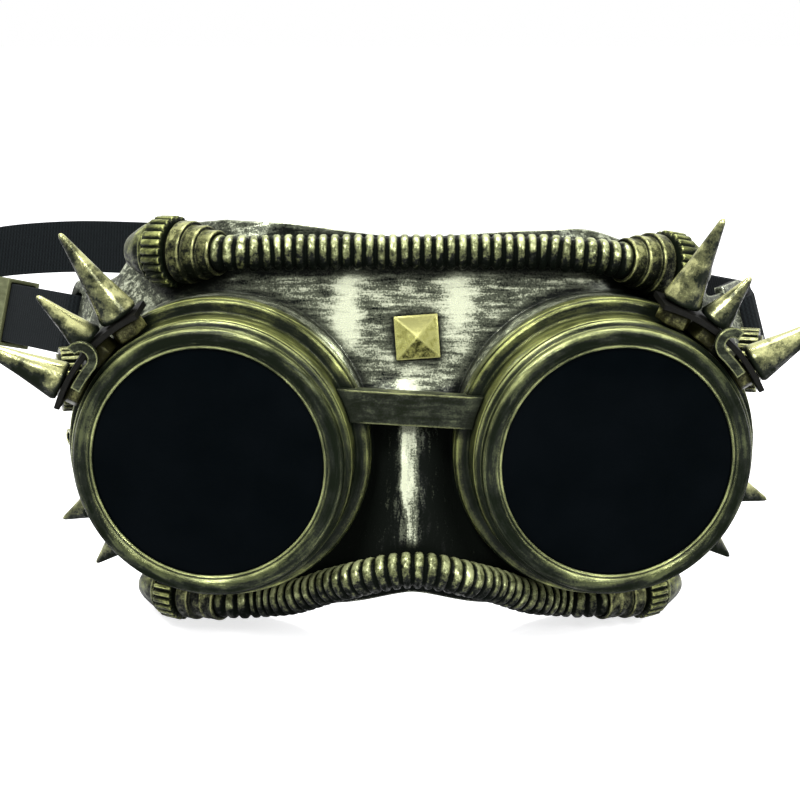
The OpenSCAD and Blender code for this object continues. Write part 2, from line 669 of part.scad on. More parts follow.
module knurl_outline(r, teeth) {
    a = 360 / teeth;
    polygon([for (i = [0 : teeth - 1]) for (p = [[0, 0], [0.28, 1], [0.72, 1], [1, 0]])
        if (p[0] < 1) (r - knurl_depth * (1 - p[1])) * [cos(a * (i + p[0])), sin(a * (i + p[0]))]]);
}
knurl_foot = collar_len + neck_len + stack_gap;
module knurl(kind, side) {
    color(brass) seated(kind, side) translate([0, 0, knurl_foot]) difference() {
        linear_extrude(knurl_w) knurl_outline(fit(kind, knurl_r), knurl_teeth);
        translate([0, 0, -1]) cylinder(r = hose_bore, h = knurl_w + 2);
    }
}
module end_cap(kind, side) {
    z = knurl_foot + knurl_w + stack_gap;
    r = fit(kind, cap_r);
    nose_r = fit(kind, cap_nose);
    color(brass) seated(kind, side) translate([0, 0, z]) union() {
        cylinder(r = r, h = 1.2);
        translate([0, 0, 1.2]) cylinder(r1 = r - 0.4, r2 = nose_r, h = cap_len - 1.2 - nose_r * 0.5);
        translate([0, 0, cap_len - nose_r]) intersection() {
            sphere(r = nose_r * 1.12);
            translate([0, 0, nose_r * 0.5]) cylinder(r = 2 * nose_r, h = 2 * nose_r);
        }
    }
}

function spikes(side) = side < 0 ? left_spikes : right_spikes;
// Local frame of a spike: z out along the spike, 0 at the distance r from the eyepiece axis
module at_spike(side, k, r) {
    at_eye(side) rotate([0, 0, spikes(side)[k]]) translate([nut_foot, 0, spike_z])
        rotate([0, 90 - spike_lean, 0]) translate([0, 0, r - nut_foot]) children();
}
band_foot = nut_foot + nut_h + 0.25;
spike_foot = band_foot + band_t + stack_gap + 0.25;
module spike_band(side) {
    a = spikes(side);
    edge = band_w / 2;
    color(dark) difference() {
        at_eye(side) rotate([0, 0, a[2] - band_end]) rotate_extrude(angle = a[0] - a[2] + 2 * band_end)
            translate([nut_foot, spike_z]) rotate([0, 0, spike_lean]) translate([band_foot - nut_foot, -edge])
            square([band_t, band_w]);
        for (k = [0 : 2]) at_spike(side, k, band_foot - 2) cylinder(r = shank_r + shank_gap, h = 8);
    }
}
module spike_nuts(side) {
    color(gold) for (k = [0 : 2]) at_spike(side, k, nut_foot) difference() {
        cylinder(r = nut_flats / sqrt(3), h = nut_h, $fn = 6);
        translate([0, 0, -1]) cylinder(r = shank_r + shank_gap, h = nut_h + 2);
    }
}
module spike(side, k) {
    r = spike_r[k];
    h = (side < 0 ? left_len : right_len)[k];
    drop = spike_foot - nut_foot - 0.2;
    color(gold) at_spike(side, k, spike_foot) union() {
        translate([0, 0, -drop]) cylinder(r = shank_r, h = drop + 1);
        ring([[0, 0], [r - 0.5, 0], [r, 0.9], [spike_tip, h - spike_tip], [0, h - spike_tip]]);
        translate([0, 0, h - spike_tip]) sphere(r = spike_tip, $fn = 24);
    }
}
module cones(side) {
    color(brass) for (a = side < 0 ? left_cones : right_cones)
        at_eye(side) rotate([0, 0, -a]) translate([boss_r + 0.25, 0, -cone_z]) rotate([0, 90, 0])
            ring([[0, 0], [cone_r, 0], [cone_r, 0.6], [0.35, cone_len - 0.3], [0, cone_len]]);
}

// Share of the run at which the side disc and the side bolt sit on the temple
disc_s = 0.85;
bolt_s = 0.96;
function level_way(s, z) = let (w = outward(s, z)) unit([w[0], w[1], 0]);
// Local frame of a side piece: z straight out sideways from the shell
module at_side(side, s, z, way) {
    mirror([side < 0 ? 1 : 0, 0, 0]) translate(face(s, z)) rotate([0, 90, atan2(way[1], way[0])]) children();
}
module side_disc(side) {
    z = side < 0 ? left_disc_z : right_disc_z;
    w = level_way(disc_s, z);
    lean = atan2(-w[1], w[0]) - disc_turn;
    lift = 2.5 + disc_r * sin(lean);
    color(brass) at_side(side, disc_s, z, [cos(disc_turn), -sin(disc_turn)]) union() {
        translate([0, 0, 0.9 + stem_r * sin(lean)]) cylinder(r = stem_r, h = 1.7 + (disc_r - stem_r) * sin(lean));
        translate([0, 0, lift]) linear_extrude(disc_t) knurl_outline(disc_r, knurl_teeth);
        translate([0, 0, lift + disc_t]) cylinder(r = disc_r - 1.6, h = 0.8);
    }
}
module at_bolt(side) { at_side(side, bolt_s, -bolt_z, level_way(bolt_s, -bolt_z)) children(); }
module bolt_washer(side) {
    color(dark) at_bolt(side) translate([0, 0, 0.3]) difference() {
        cylinder(r = washer_r, h = washer_t);
        translate([0, 0, -1]) cylinder(r = shank_r + shank_gap, h = washer_t + 2);
    }
}
module side_bolt(side) {
    foot = 0.3 + washer_t + stack_gap;
    color(gold) at_bolt(side) difference() {
        union() {
            translate([0, 0, 0.3]) cylinder(r = shank_r, h = foot);
            translate([0, 0, foot]) cylinder(r = bolt_head_r, h = bolt_head_h);
        }
        translate([0, 0, foot + bolt_head_h - 0.8]) cylinder(r = bolt_head_r - 0.8, h = 1);
    }
}
// A flat hook beside the third spike: an arc round the rim that curls outwards
module side_clip(side) {
    a = spikes(side)[2];
    inner = bead_r + 0.6;
    from = a + 3;
    to = a + 14;
    curl = clip_w + 1.6;
    color(gold) at_eye(side) translate([0, 0, spike_z + band_w / 2 + 0.7]) union() {
        intersection() {
            difference() {
                cylinder(r = inner + clip_w, h = clip_t);
                translate([0, 0, -1]) cylinder(r = inner, h = clip_t + 2);
            }
            wedge(from, to, 60, -1, 3);
        }
        rotate([0, 0, to]) translate([inner + clip_w + 1.6, 0, 0]) difference() {
            cylinder(r = curl, h = clip_t);
            translate([0, 0, -1]) cylinder(r = curl - clip_w, h = clip_t + 2);
            translate([-10, -20, -1]) cube([20, 20, clip_t + 2]);
        }
    }
}

// Strap: frames are [middle, run direction, width direction] at points along it
function tilted(way, out, a) = unit([0, 0, 1] * cos(a) - out * sin(a));
bar_mid = lug_root + [cos(lug_turn), sin(lug_turn), 0] * bar_at;
// The doubled stretch beside a bar, in the right side's frame: run is its direction from the X axis
function run_way(run) = [cos(run), sin(run), 0];
function run_out(run) = [sin(run), -cos(run), 0];
function up(run) = tilted(run_way(run), run_out(run), strap_lean);
function face_out(run) = unit(cross(run_way(run), up(run)));
function layer(run, d, k) = bar_mid + run_way(run) * d + face_out(run) * (k * layer_gap / 2);
// Half turn round the bar, from the inner layer to the outer one
function fold_turn(run) = [for (a = [180 : -22.5 : 0])
    bar_mid - run_way(run) * (bar_w / 2 - 0.8 + layer_gap / 2 * sin(a))
    + face_out(run) * (layer_gap / 2 * cos(a))];
function flip_x(p) = [-p[0], p[1], p[2]];

// Points behind the head, from left to right, and the lean there
loop_points = [[-132.5, 90, 20.5], [-135, 100, 22.5], [-131, 109, 25], [-119, 115.5, 27.5],
    [-100, 117, 28.8], [-80, 113.5, 29], [-58, 108.5, 28.5], [-32, 103, 27.5], [-4, 98, 26],
    [22, 94.5, 24.5], [46, 90.5, 22.5], [64, 85.5, 21], [77, 78.5, 20.3], [85, 69.5, 20]];
function turned(list) = [for (i = [len(list) - 1 : -1 : 0]) list[i]];
left_tail = [for (d = [doubled_len - 4, 24]) flip_x(layer(left_run, d, -1))];
left_fold = [for (p = fold_turn(left_run)) flip_x(p)];
left_outer = [for (d = [24, doubled_len]) flip_x(layer(left_run, d, 1))];
right_outer = [for (d = [16, 8]) layer(right_run, d, 1)];
right_fold = turned(fold_turn(right_run));
right_tail = [for (d = [8, sewn_len]) layer(right_run, d, -1)];
strap_path = concat(left_tail, left_fold, left_outer, loop_points, right_outer, right_fold, right_tail);
n_left = len(left_tail) + len(left_fold) + len(left_outer);
n_right = n_left + len(loop_points);
function strap_up(i) =
    i < n_left ? flip_x(up(left_run)) : i >= n_right ? up(right_run)
    : let (k = (i - n_left + 1) / (len(loop_points) + 1), e = smooth(abs(2 * k - 1)))
        unit(e * (k < 0.5 ? flip_x(up(left_run)) : up(right_run)) + (1 - e) * [0, 0, 1]);
module head_strap() {
    n = len(strap_path);
    frames = [for (i = [0 : n - 1])
        let (way = unit(strap_path[min(i + 1, n - 1)] - strap_path[max(i - 1, 0)]), w = strap_up(i))
        let (side = unit(cross(way, w)))
        [for (c = [[-1, -1], [1, -1], [1, 1], [-1, 1]])
            strap_path[i] + side * (c[0] * strap_t / 2) + w * (c[1] * strap_w / 2)]];
    sides = [for (i = [0 : n - 2]) for (k = [0 : 3])
        let (a = 4 * i + k, b = 4 * i + (k + 1) % 4) for (t = [[a, b + 4, b], [a, a + 4, b + 4]]) t];
    z = 4 * (n - 1);
    color(black) polyhedron([for (f = frames) for (p = f) p],
        concat(sides, [[0, 1, 2], [0, 2, 3], [z, z + 2, z + 1], [z, z + 3, z + 2]]));
}

// Local frame of the slider: x along the strap, z up its width, y towards the head
module at_slider() {
    mirror([1, 0, 0]) translate(bar_mid + run_way(left_run) * slider_at) rotate([0, 0, left_run])
        rotate([-strap_lean, 0, 0]) children();
}
slider_in = [layer_gap + strap_t + 2 * slider_gap, strap_w + 2 * slider_gap];
slider_out = slider_in + 2 * slider_wall * [1, 1];
module strap_slider() {
    l = slider_len;
    color(brass) at_slider() difference() {
        cube([l, slider_out[0], slider_out[1]], center = true);
        cube([l + 2, slider_in[0], slider_in[1]], center = true);
        translate([0, slider_out[0] / 2, 0])
            cube([l - 10, 2 * slider_wall + 0.2, slider_in[1] - 4], center = true);
    }
}
module slider_bar() {
    color(brass) at_slider() cylinder(r = slider_bar_r, h = slider_in[1] - 0.1, center = true);
}

face_shell();
eye_cup(-1);  // eye_cup_left
eye_cup(1);  // eye_cup_right
rim(-1);  // rim_left
rim(1);  // rim_right
lens(-1);  // lens_left
lens(1);  // lens_right
gasket(-1);  // gasket_left
gasket(1);  // gasket_right
bridge_bar();
pyramid_stud();
color(brass) hose(0);  // brow_hose
color(brass) hose(1);  // cheek_hose
collar(0, -1);  // brow_collar_left
collar(0, 1);  // brow_collar_right
knurl(0, -1);  // brow_knurl_left
knurl(0, 1);  // brow_knurl_right
end_cap(0, -1);  // brow_cap_left
end_cap(0, 1);  // brow_cap_right
collar(1, -1);  // cheek_collar_left
collar(1, 1);  // cheek_collar_right
knurl(1, -1);  // cheek_knurl_left
knurl(1, 1);  // cheek_knurl_right
end_cap(1, -1);  // cheek_cap_left
end_cap(1, 1);  // cheek_cap_right
spike_band(-1);  // spike_band_left
spike_band(1);  // spike_band_right
spike_nuts(-1);  // spike_nuts_left
spike_nuts(1);  // spike_nuts_right
spike(-1, 0);  // spike_upper_left
spike(-1, 1);  // spike_middle_left
spike(-1, 2);  // spike_lower_left
spike(1, 0);  // spike_upper_right
spike(1, 1);  // spike_middle_right
spike(1, 2);  // spike_lower_right
cones(-1);  // cones_left
cones(1);  // cones_right
side_disc(-1);  // side_disc_left
side_disc(1);  // side_disc_right
side_clip(-1);  // side_clip_left
side_clip(1);  // side_clip_right
side_bolt(-1);  // side_bolt_left
side_bolt(1);  // side_bolt_right
bolt_washer(-1);  // bolt_washer_left
bolt_washer(1);  // bolt_washer_right
head_strap();
strap_slider();
slider_bar();
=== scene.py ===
import bpy
import bmesh
from math import acos, atan2, ceil, cos, exp, log, pi, radians, sin, sqrt
from mathutils import Matrix, Vector


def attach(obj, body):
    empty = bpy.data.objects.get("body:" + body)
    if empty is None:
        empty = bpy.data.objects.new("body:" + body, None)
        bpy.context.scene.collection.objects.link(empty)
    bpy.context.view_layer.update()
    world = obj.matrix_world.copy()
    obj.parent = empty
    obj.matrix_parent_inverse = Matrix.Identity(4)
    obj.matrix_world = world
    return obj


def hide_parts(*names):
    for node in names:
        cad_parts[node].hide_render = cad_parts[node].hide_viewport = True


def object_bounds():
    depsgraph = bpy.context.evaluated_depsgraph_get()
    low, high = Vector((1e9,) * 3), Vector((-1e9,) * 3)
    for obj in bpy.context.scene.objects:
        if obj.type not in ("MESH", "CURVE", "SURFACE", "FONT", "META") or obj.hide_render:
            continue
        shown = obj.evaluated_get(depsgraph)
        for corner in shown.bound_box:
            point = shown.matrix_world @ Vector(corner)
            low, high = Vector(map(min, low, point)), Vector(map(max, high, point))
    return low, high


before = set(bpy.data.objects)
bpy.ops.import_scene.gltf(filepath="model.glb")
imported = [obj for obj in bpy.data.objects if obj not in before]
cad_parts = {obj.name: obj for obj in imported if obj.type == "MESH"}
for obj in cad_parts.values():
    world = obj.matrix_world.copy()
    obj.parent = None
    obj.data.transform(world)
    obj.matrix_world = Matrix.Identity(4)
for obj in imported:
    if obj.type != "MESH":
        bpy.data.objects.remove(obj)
cad_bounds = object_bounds()
BODY = "goggles"

# Sizes in millimetres, as in the part's source
EYE_X, SPLAY, SEAT_Y = 43.2, 6, -1.1
FLANGE_R, FLANGE_T = 34.5, 5
BARREL_R, BARREL_TOP, BARREL_WALL = 31.3, 11.9, 2.1
VIEW_R, SLEEVE_WALL, SLEEVE_TOP = 26, 1.6, 13.2
HOLE_R, SPIGOT_LEN, SPIGOT_GAP = 28, 1.6, 0.15
RIM_R, RIM_FRONT, BEAD_R, BEAD_W = 30, 17, 31.2, 1.4
RIM_FOOT, TUBE_LEN, TUBE_R, TUBE_IN = 12.2, 5.4, 29.12, 27.75
APERTURE_R, LIP_BACK = 25.7, 15.7
LENS_BACK, LENS_T, LENS_GAP = 14.15, 1.5, 0.12
WALL, BOSS_R, BOSS_WALL, BOSS_LEN = 2.4, 34.2, 2.4, 27
STUD_X, STUD_Z, STUD_HALF, STUD_BASE, STUD_H, STUD_TURN = 1.2, 24.2, 5, 0.9, 3.6, 4
HOSE_R, GROOVE, RIB_PITCH, HOSE_BORE, HOSE_GAP = 4.1, 0.8, 2.6, 2.4, 0.3
BROW_LINE, ARCH_TOP, ARCH_DROP, ARCH_SPREAD = 42.6, 25, 14.4, 23
BROW_DROP = {-1: 1.2, 1: 2.2}
END_LEN, MOUTH_AT, FIT_TURN, SEAT_GAP = 4.6, 1, 15, 0.45
FIT = {"brow": 1, "cheek": 0.85}
STEP_R, SOCKET_GAP = (5.1, 6.1, 7.1), 0.15
COLLAR_LEN, NECK_R, NECK_LEN = 10, 6.2, 1
KNURL_R, KNURL_DEPTH, KNURL_W, KNURL_TEETH = 8.2, 0.8, 5, 24
CAP_R, CAP_NOSE = 7.3, 4
NUT_FOOT, NUT_H, NUT_FLATS = 32.1, 3.2, 7
BAND_T, BAND_W, BAND_END, SPIKE_Z, SPIKE_LEAN = 1.3, 10.5, 7.5, 9.2, 8
SPIKES = {-1: (57.5, 43.5, 26), 1: (67, 53.5, 32.5)}
SPIKE_LEN = {-1: (22, 15, 22), 1: (20.5, 12.5, 22)}
SPIKE_R, SHANK_R = (4.5, 3.9, 4.5), 1.5
CONES = {-1: (27, 44), 1: (21, 42)}
CONE_LEN, CONE_R, CONE_Z = 10, 3.7, 4.6
STRAP_Z, LUG_TURN, LEAN, LUG_LEN, LUG_H, BAR_W, SLOT_W = 20, 60, 16, 12.5, 23, 3.2, 4
STRAP_W, STRAP_T, LAYER = 15, 1.3, 5.8
LEFT_RUN, RIGHT_RUN, DOUBLED, SEWN = 42, 84, 58, 20
SIDE = {-1: "left", 1: "right"}
UP = Vector((0, 0, 1))

# The shell's form, worked out as in the part's source
PLAN = (0.42, 0.62, 0.74, 0.88, 1)
CHEEK, TEMPLE, TEMPLE_LEN = radians(44), radians(60), 14
FLAT_MID, FLAT_DRAW, SECTION_Z = 47.5, 14.5, 44
BROW_LEAN, CHIN_LEAN, CHEEK_DRAW = 8.7, 6.3, 12
NOSE_MID, NOSE_LOW, NOSE_HALF = 6, 5.4, 18
EDGE_TOP, EDGE_LOW, EDGE_DROP = 46.5, 32.2, 17


def ease(t):
    t = min(max(t, 0), 1)
    return t * t * (3 - 2 * t)


def plan(s, z):
    """A horizontal section of the shell: flat front, bend, cheek panel, bend, temple."""
    k = abs(z) / SECTION_Z
    flat, r1 = FLAT_MID - FLAT_DRAW * k**2.2, 28 - 4 * k**2
    panel, r2 = 4 + 16 * k**2, 28 - 16 * k**2
    x1, y1 = flat + r1 * sin(CHEEK), r1 * (1 - cos(CHEEK))
    x2, y2 = x1 + panel * cos(CHEEK), y1 + panel * sin(CHEEK)
    x3, y3 = x2 + r2 * (sin(TEMPLE) - sin(CHEEK)), y2 + r2 * (cos(CHEEK) - cos(TEMPLE))
    if s < PLAN[0]:
        return flat * (s / PLAN[0]) ** 1.2, 0
    if s < PLAN[1]:
        a = CHEEK * (s - PLAN[0]) / (PLAN[1] - PLAN[0])
        return flat + r1 * sin(a), r1 * (1 - cos(a))
    if s < PLAN[2]:
        t = (s - PLAN[1]) / (PLAN[2] - PLAN[1])
        return x1 + t * (x2 - x1), y1 + t * (y2 - y1)
    if s < PLAN[3]:
        a = CHEEK + (TEMPLE - CHEEK) * (s - PLAN[2]) / (PLAN[3] - PLAN[2])
        return x2 + r2 * (sin(a) - sin(CHEEK)), y2 + r2 * (cos(CHEEK) - cos(a))
    t = TEMPLE_LEN * (s - PLAN[3]) / (PLAN[4] - PLAN[3])
    return x3 + t * cos(TEMPLE), y3 + t * sin(TEMPLE)


def face(s, z):
    """The shell's outside at a share s of its width, from -1 to 1, and a height z."""
    x, y = plan(abs(s), z)
    k = abs(z) / SECTION_Z
    lean = BROW_LEAN * k**1.15 if z > 0 else CHIN_LEAN * k**3
    room = min(0.9 * (EYE_X - sqrt(max((FLANGE_R + 0.2) ** 2 - z * z, 0))), NOSE_HALF)
    ridge = NOSE_MID * ease((18 - z) / 16) + NOSE_LOW * ease((2 - z) / 26)
    nose = ridge * exp(-((x / room) ** 3))
    cheek = CHEEK_DRAW * ease((-31 - z) / 11) * ease((x - 8) / 34)
    return Vector((x if s >= 0 else -x, y + SEAT_Y + lean - nose + cheek, z))


def outward(s, z):
    across = face(min(s + 0.004, 1), z) - face(max(s - 0.004, -1), z)
    return across.cross(face(s, z + 0.3) - face(s, z - 0.3)).normalized()


def on_face(s, z, lift):
    return face(s, z) + outward(s, z) * lift


def top_edge(s):
    rise, drop_at = (3.2, 0.58) if s < 0 else (1.5, 0.5)
    return EDGE_TOP + rise * ease((abs(s) - 0.05) / 0.43) - 18.5 * ease((abs(s) - drop_at) / 0.42)


def low_edge(s):
    return (-EDGE_LOW - EDGE_DROP * (1 - exp(-((s / 0.33) ** 2)))
            + 24 * ease((abs(s) - 0.62) / 0.38))


def share_at(x, z):
    low, high = 0, 1
    for _ in range(24):
        mid = (low + high) / 2
        low, high = (mid, high) if plan(mid, z)[0] < x else (low, mid)
    return (low + high) / 2


def surface_y(x, z):
    """How far back the shell's surface lies at a place seen from the front."""
    return face(share_at(abs(x), z) * (1 if x >= 0 else -1), z).y


# Helpers
def turn(axis, degrees):
    return Matrix.Rotation(radians(degrees), 4, axis)


def move(x, y, z):
    return Matrix.Translation((x, y, z))


def flip(side):
    return Matrix.Scale(side, 4, (1, 0, 0))


def at_eye(side):
    return flip(side) @ move(EYE_X, SEAT_Y, 0) @ turn("Z", SPLAY) @ turn("X", 90)


def at_spike(side, k, r):
    return (at_eye(side) @ turn("Z", SPIKES[side][k]) @ move(NUT_FOOT, 0, SPIKE_Z)
            @ turn("Y", 90 - SPIKE_LEAN) @ move(0, 0, r - NUT_FOOT))


def rounded(corners, radius=0.3, steps=3, closed=True):
    """The corners of an outline, each one cut by a small curve."""
    out = []
    n = len(corners)
    for i, corner in enumerate(corners):
        p = Vector(corner[:2])
        r = corner[2] if len(corner) > 2 else radius
        a = Vector(corners[i - 1][:2]) - p
        b = Vector(corners[(i + 1) % n][:2]) - p
        if r <= 0 or (not closed and i in (0, n - 1)):
            out.append(p)
            continue
        r = min(r, a.length * 0.45, b.length * 0.45)
        a, b = p + a.normalized() * r, p + b.normalized() * r
        for k in range(steps + 1):
            t = k / steps
            out.append(a * (1 - t) ** 2 + p * 2 * t * (1 - t) + b * t * t)
    return out


def cap_ends(bm):
    bmesh.ops.holes_fill(bm, edges=[e for e in bm.edges if e.is_boundary], sides=0)


def soften(bm, edges, offset, segments=2):
    bmesh.ops.bevel(bm, geom=edges, offset=offset, segments=segments, profile=0.5, affect="EDGES",
                    material=-1)


def thicken(bm, way):
    """Raises a flat face into a slab."""
    raised = bmesh.ops.extrude_face_region(bm, geom=list(bm.faces))
    front = [g for g in raised["geom"] if isinstance(g, bmesh.types.BMVert)]
    bmesh.ops.translate(bm, vec=way, verts=front)
    bmesh.ops.recalc_face_normals(bm, faces=bm.faces)


def lathe(outline, steps=96, angle=2 * pi):
    """Turns a closed outline of points, each a radius and a height, round the Z axis."""
    bm = bmesh.new()
    verts = [bm.verts.new((max(p[0], 0), 0, p[1])) for p in outline]
    edges = [bm.edges.new((verts[i], verts[(i + 1) % len(verts)])) for i in range(len(verts))]
    full = angle == 2 * pi
    bmesh.ops.spin(bm, geom=verts + edges, axis=(0, 0, 1), cent=(0, 0, 0), angle=angle, steps=steps,
                   use_merge=full)
    bmesh.ops.remove_doubles(bm, verts=bm.verts, dist=0.0005)
    if not full:
        cap_ends(bm)
    return bm


def mesh_of(name, bm):
    mesh = bpy.data.meshes.new(name)
    bm.to_mesh(mesh)
    bm.free()
    return mesh


def linked(name, data):
    obj = bpy.data.objects.new(name, data)
    bpy.context.scene.collection.objects.link(obj)
    return obj


def add(bm, other, place):
    """Copies another bmesh into bm, moved to its place."""
    other.transform(place)
    mesh = mesh_of("part", other)
    bm.from_mesh(mesh)
    bpy.data.meshes.remove(mesh)


def piece(name, bm, material, node_name, body=BODY, place=None, sharp=32):
    """Makes an object of a bmesh drawn in millimetres and puts it on its body."""
    if place is not None:
        bm.transform(place)
    bm.transform(Matrix.Scale(0.001, 4))
    bmesh.ops.recalc_face_normals(bm, faces=bm.faces)
    mesh = mesh_of(name, bm)
    mesh.polygons.foreach_set("use_smooth", [True] * len(mesh.polygons))
    mesh.set_sharp_from_angle(angle=radians(sharp))
    mesh.materials.append(material)
    obj = linked(name, mesh)
    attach(obj, body)
    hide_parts(node_name)
    return obj


# Materials
def shader(name):
    material = bpy.data.materials.new(name)
    material.use_nodes = True
    tree = material.node_tree
    return material, tree, tree.nodes["Principled BSDF"]


def node(tree, kind, inputs=(), **settings):
    made = tree.nodes.new(kind)
    for key, value in settings.items():
        setattr(made, key, value)
    for key, value in dict(inputs).items():
        if hasattr(value, "is_linked"):
            tree.links.new(value, made.inputs[key])
        else:
            made.inputs[key].default_value = value
    return made


def maths(tree, operation, a, b=0.0, c=0.0, clamp=False):
    return node(tree, "ShaderNodeMath", {0: a, 1: b, 2: c}, operation=operation, use_clamp=clamp).outputs[0]


def ramp(tree, factor, stops):
    made = node(tree, "ShaderNodeValToRGB", {"Fac": factor})
    band = made.color_ramp
    while len(band.elements) < len(stops):
        band.elements.new(0.5)
    for element, (at, color) in zip(band.elements, stops):
        element.position = at
        element.color = (*color, 1)
    return made.outputs["Color"]


def noise(tree, coords, scale, detail, rough, distort=0.0):
    return node(tree, "ShaderNodeTexNoise", {"Vector": coords, "Scale": scale, "Detail": detail,
                "Roughness": rough, "Distortion": distort}).outputs["Fac"]


def object_coords(tree):
    return node(tree, "ShaderNodeTexCoord").outputs["Object"]


BROW_GRAIN, NOSE_GRAIN, ROUND_GRAIN = (0.2, 1.5, 1.5), (1.6, 1, 0.12), 0.0022


def brushed(tree, coords, grain):
    """Brush strokes: along a grain, round the eyepieces' axes, or across the brow and down the nose."""
    if grain == "face":
        low = node(tree, "ShaderNodeSeparateXYZ", {0: coords})
        share = node(tree, "ShaderNodeMapRange", {0: low.outputs["Z"], 1: 0.004, 2: 0.012}).outputs[0]
        brow, nose = brushed(tree, coords, BROW_GRAIN), brushed(tree, coords, NOSE_GRAIN)
        return maths(tree, "ADD", maths(tree, "MULTIPLY", brow, share),
                     maths(tree, "MULTIPLY", nose, maths(tree, "SUBTRACT", 1.0, share)))
    if grain == "round":
        split = node(tree, "ShaderNodeSeparateXYZ", {0: coords})
        out = maths(tree, "SUBTRACT", maths(tree, "ABSOLUTE", split.outputs["X"]), EYE_X / 1000)
        square = maths(tree, "ADD", maths(tree, "POWER", maths(tree, "ABSOLUTE", out), 2.0),
                       maths(tree, "POWER", maths(tree, "ABSOLUTE", split.outputs["Z"]), 2.0))
        radius = maths(tree, "MAXIMUM", maths(tree, "SQRT", square), 0.001)
        aside, rise = maths(tree, "DIVIDE", out, radius), maths(tree, "DIVIDE", split.outputs["Z"], radius)
        coords = node(tree, "ShaderNodeCombineXYZ", {0: radius,
                      1: maths(tree, "MULTIPLY", aside, ROUND_GRAIN),
                      2: maths(tree, "MULTIPLY_ADD", rise, ROUND_GRAIN, split.outputs["Y"])}).outputs[0]
        grain = (1, 1, 1)
    placed = node(tree, "ShaderNodeMapping", {"Vector": coords, "Scale": grain}).outputs[0]
    return noise(tree, placed, 620, 4, 0.65, distort=0.3)


def aged_metal(name, dark, mid, light, wear=0.5, grain=(1, 1, 1), rough=0.3, metallic=0.6, speckle=0.3,
               shade_reach=0.0035, edge=0.0007, painted_top_light=0.3, patches=110, tone_and_highlights=None, groove_shade=None):
    """Black plastic with metal paint brushed on, with painted light: lighter on edges (rubbed paint and
    painted highlight) and on faces turned up, and painted shade in recesses.
    """
    material, tree, bsdf = shader(name)
    coords = object_coords(tree)
    cloud = noise(tree, coords, patches, 5, 0.6)
    strokes = brushed(tree, coords, grain)
    dust = noise(tree, coords, 2600, 2, 0.7)
    # Painted shade: ambient occlusion darkens the colour in recesses and between parts.
    recess_occlusion = node(tree, "ShaderNodeAmbientOcclusion", {"Distance": shade_reach}, samples=8, only_local=False)
    unshaded_share = maths(tree, "POWER", recess_occlusion.outputs["AO"], 2.2)
    soft = node(tree, "ShaderNodeBevel", {"Radius": edge}, samples=4)
    flat = node(tree, "ShaderNodeNewGeometry").outputs["Normal"]
    along = node(tree, "ShaderNodeVectorMath", {0: soft.outputs[0], 1: flat}, operation="DOT_PRODUCT")
    # Edges lighter: partly rubbed paint, partly a painted highlight; kept off recesses by the painted shade.
    corner = maths(tree, "MULTIPLY", maths(tree, "SUBTRACT", 1.0, along.outputs["Value"]), 9.0, clamp=True)
    corner = maths(tree, "MULTIPLY", corner, unshaded_share)
    facing = node(tree, "ShaderNodeSeparateXYZ", {0: flat})
    level = maths(tree, "MULTIPLY_ADD", strokes, 1.4, cloud)
    level = maths(tree, "ADD", level, wear - 1.4)
    # Painted light from above: faces turned up are lighter, faces turned down darker.
    level = maths(tree, "ADD", level, maths(tree, "MULTIPLY", facing.outputs["Z"], painted_top_light))
    fleck = maths(tree, "MULTIPLY", maths(tree, "SUBTRACT", dust, 0.5), speckle * 2)
    level = maths(tree, "ADD", level, fleck)
    if tone_and_highlights:
        level = maths(tree, "SUBTRACT", level, tone_and_highlights(tree, coords, facing.outputs["Y"]))
    level = maths(tree, "ADD", level, maths(tree, "MULTIPLY", corner, 0.7))
    # Painted shade: darker in the hose's grooves, by the groove weight stored on each vertex.
    if groove_shade:
        cut = node(tree, "ShaderNodeAttribute", attribute_name=groove_shade).outputs["Fac"]
        level = maths(tree, "SUBTRACT", level, maths(tree, "MULTIPLY", cut, 0.8))
    # Painted shade in recesses and between parts, from the occlusion above.
    level = maths(tree, "MULTIPLY", level, unshaded_share, clamp=True)
    color = ramp(tree, level, ((0.20, dark), (0.52, mid), (0.90, light)))
    tree.links.new(color, bsdf.inputs["Base Color"])
    tree.links.new(maths(tree, "MULTIPLY", level, metallic), bsdf.inputs["Metallic"])
    shine = maths(tree, "ADD", maths(tree, "MULTIPLY", level, 0.4), 0.004)
    tree.links.new(shine, bsdf.inputs["Specular IOR Level"])
    dull = maths(tree, "SUBTRACT", rough + 0.1, maths(tree, "MULTIPLY", level, 0.15))
    tree.links.new(dull, bsdf.inputs["Roughness"])
    height = maths(tree, "ADD", maths(tree, "MULTIPLY", strokes, 0.6), maths(tree, "MULTIPLY", dust, 0.5))
    relief = node(tree, "ShaderNodeBump", {"Height": height, "Strength": 0.18, "Distance": 0.0003,
                  "Normal": soft.outputs[0]})
    tree.links.new(relief.outputs[0], bsdf.inputs["Normal"])
    return material


def painted_highlight(tree, split, x, z, wide, tall, strength):
    """A soft patch of painted highlight, placed in metres from the middle of the shell."""
    across = maths(tree, "DIVIDE", maths(tree, "SUBTRACT", split.outputs["X"], x), wide)
    along = maths(tree, "DIVIDE", maths(tree, "SUBTRACT", split.outputs["Z"], z), tall)
    far = maths(tree, "ADD", maths(tree, "POWER", maths(tree, "ABSOLUTE", across), 2.0),
                maths(tree, "POWER", maths(tree, "ABSOLUTE", along), 4.0))
    return maths(tree, "DIVIDE", strength, maths(tree, "ADD", 1.0, far))


# Painted highlights, each patch: its middle across and up, its half width and height, its strength
HIGHLIGHT_PATCHES = ((-0.0145, 0.031, 0.0028, 0.010, 0.52), (0.0105, 0.032, 0.0026, 0.010, 0.48),
           (-0.0017, -0.001, 0.0008, 0.012, 1.05), (0.0001, -0.007, 0.0017, 0.019, 0.70))


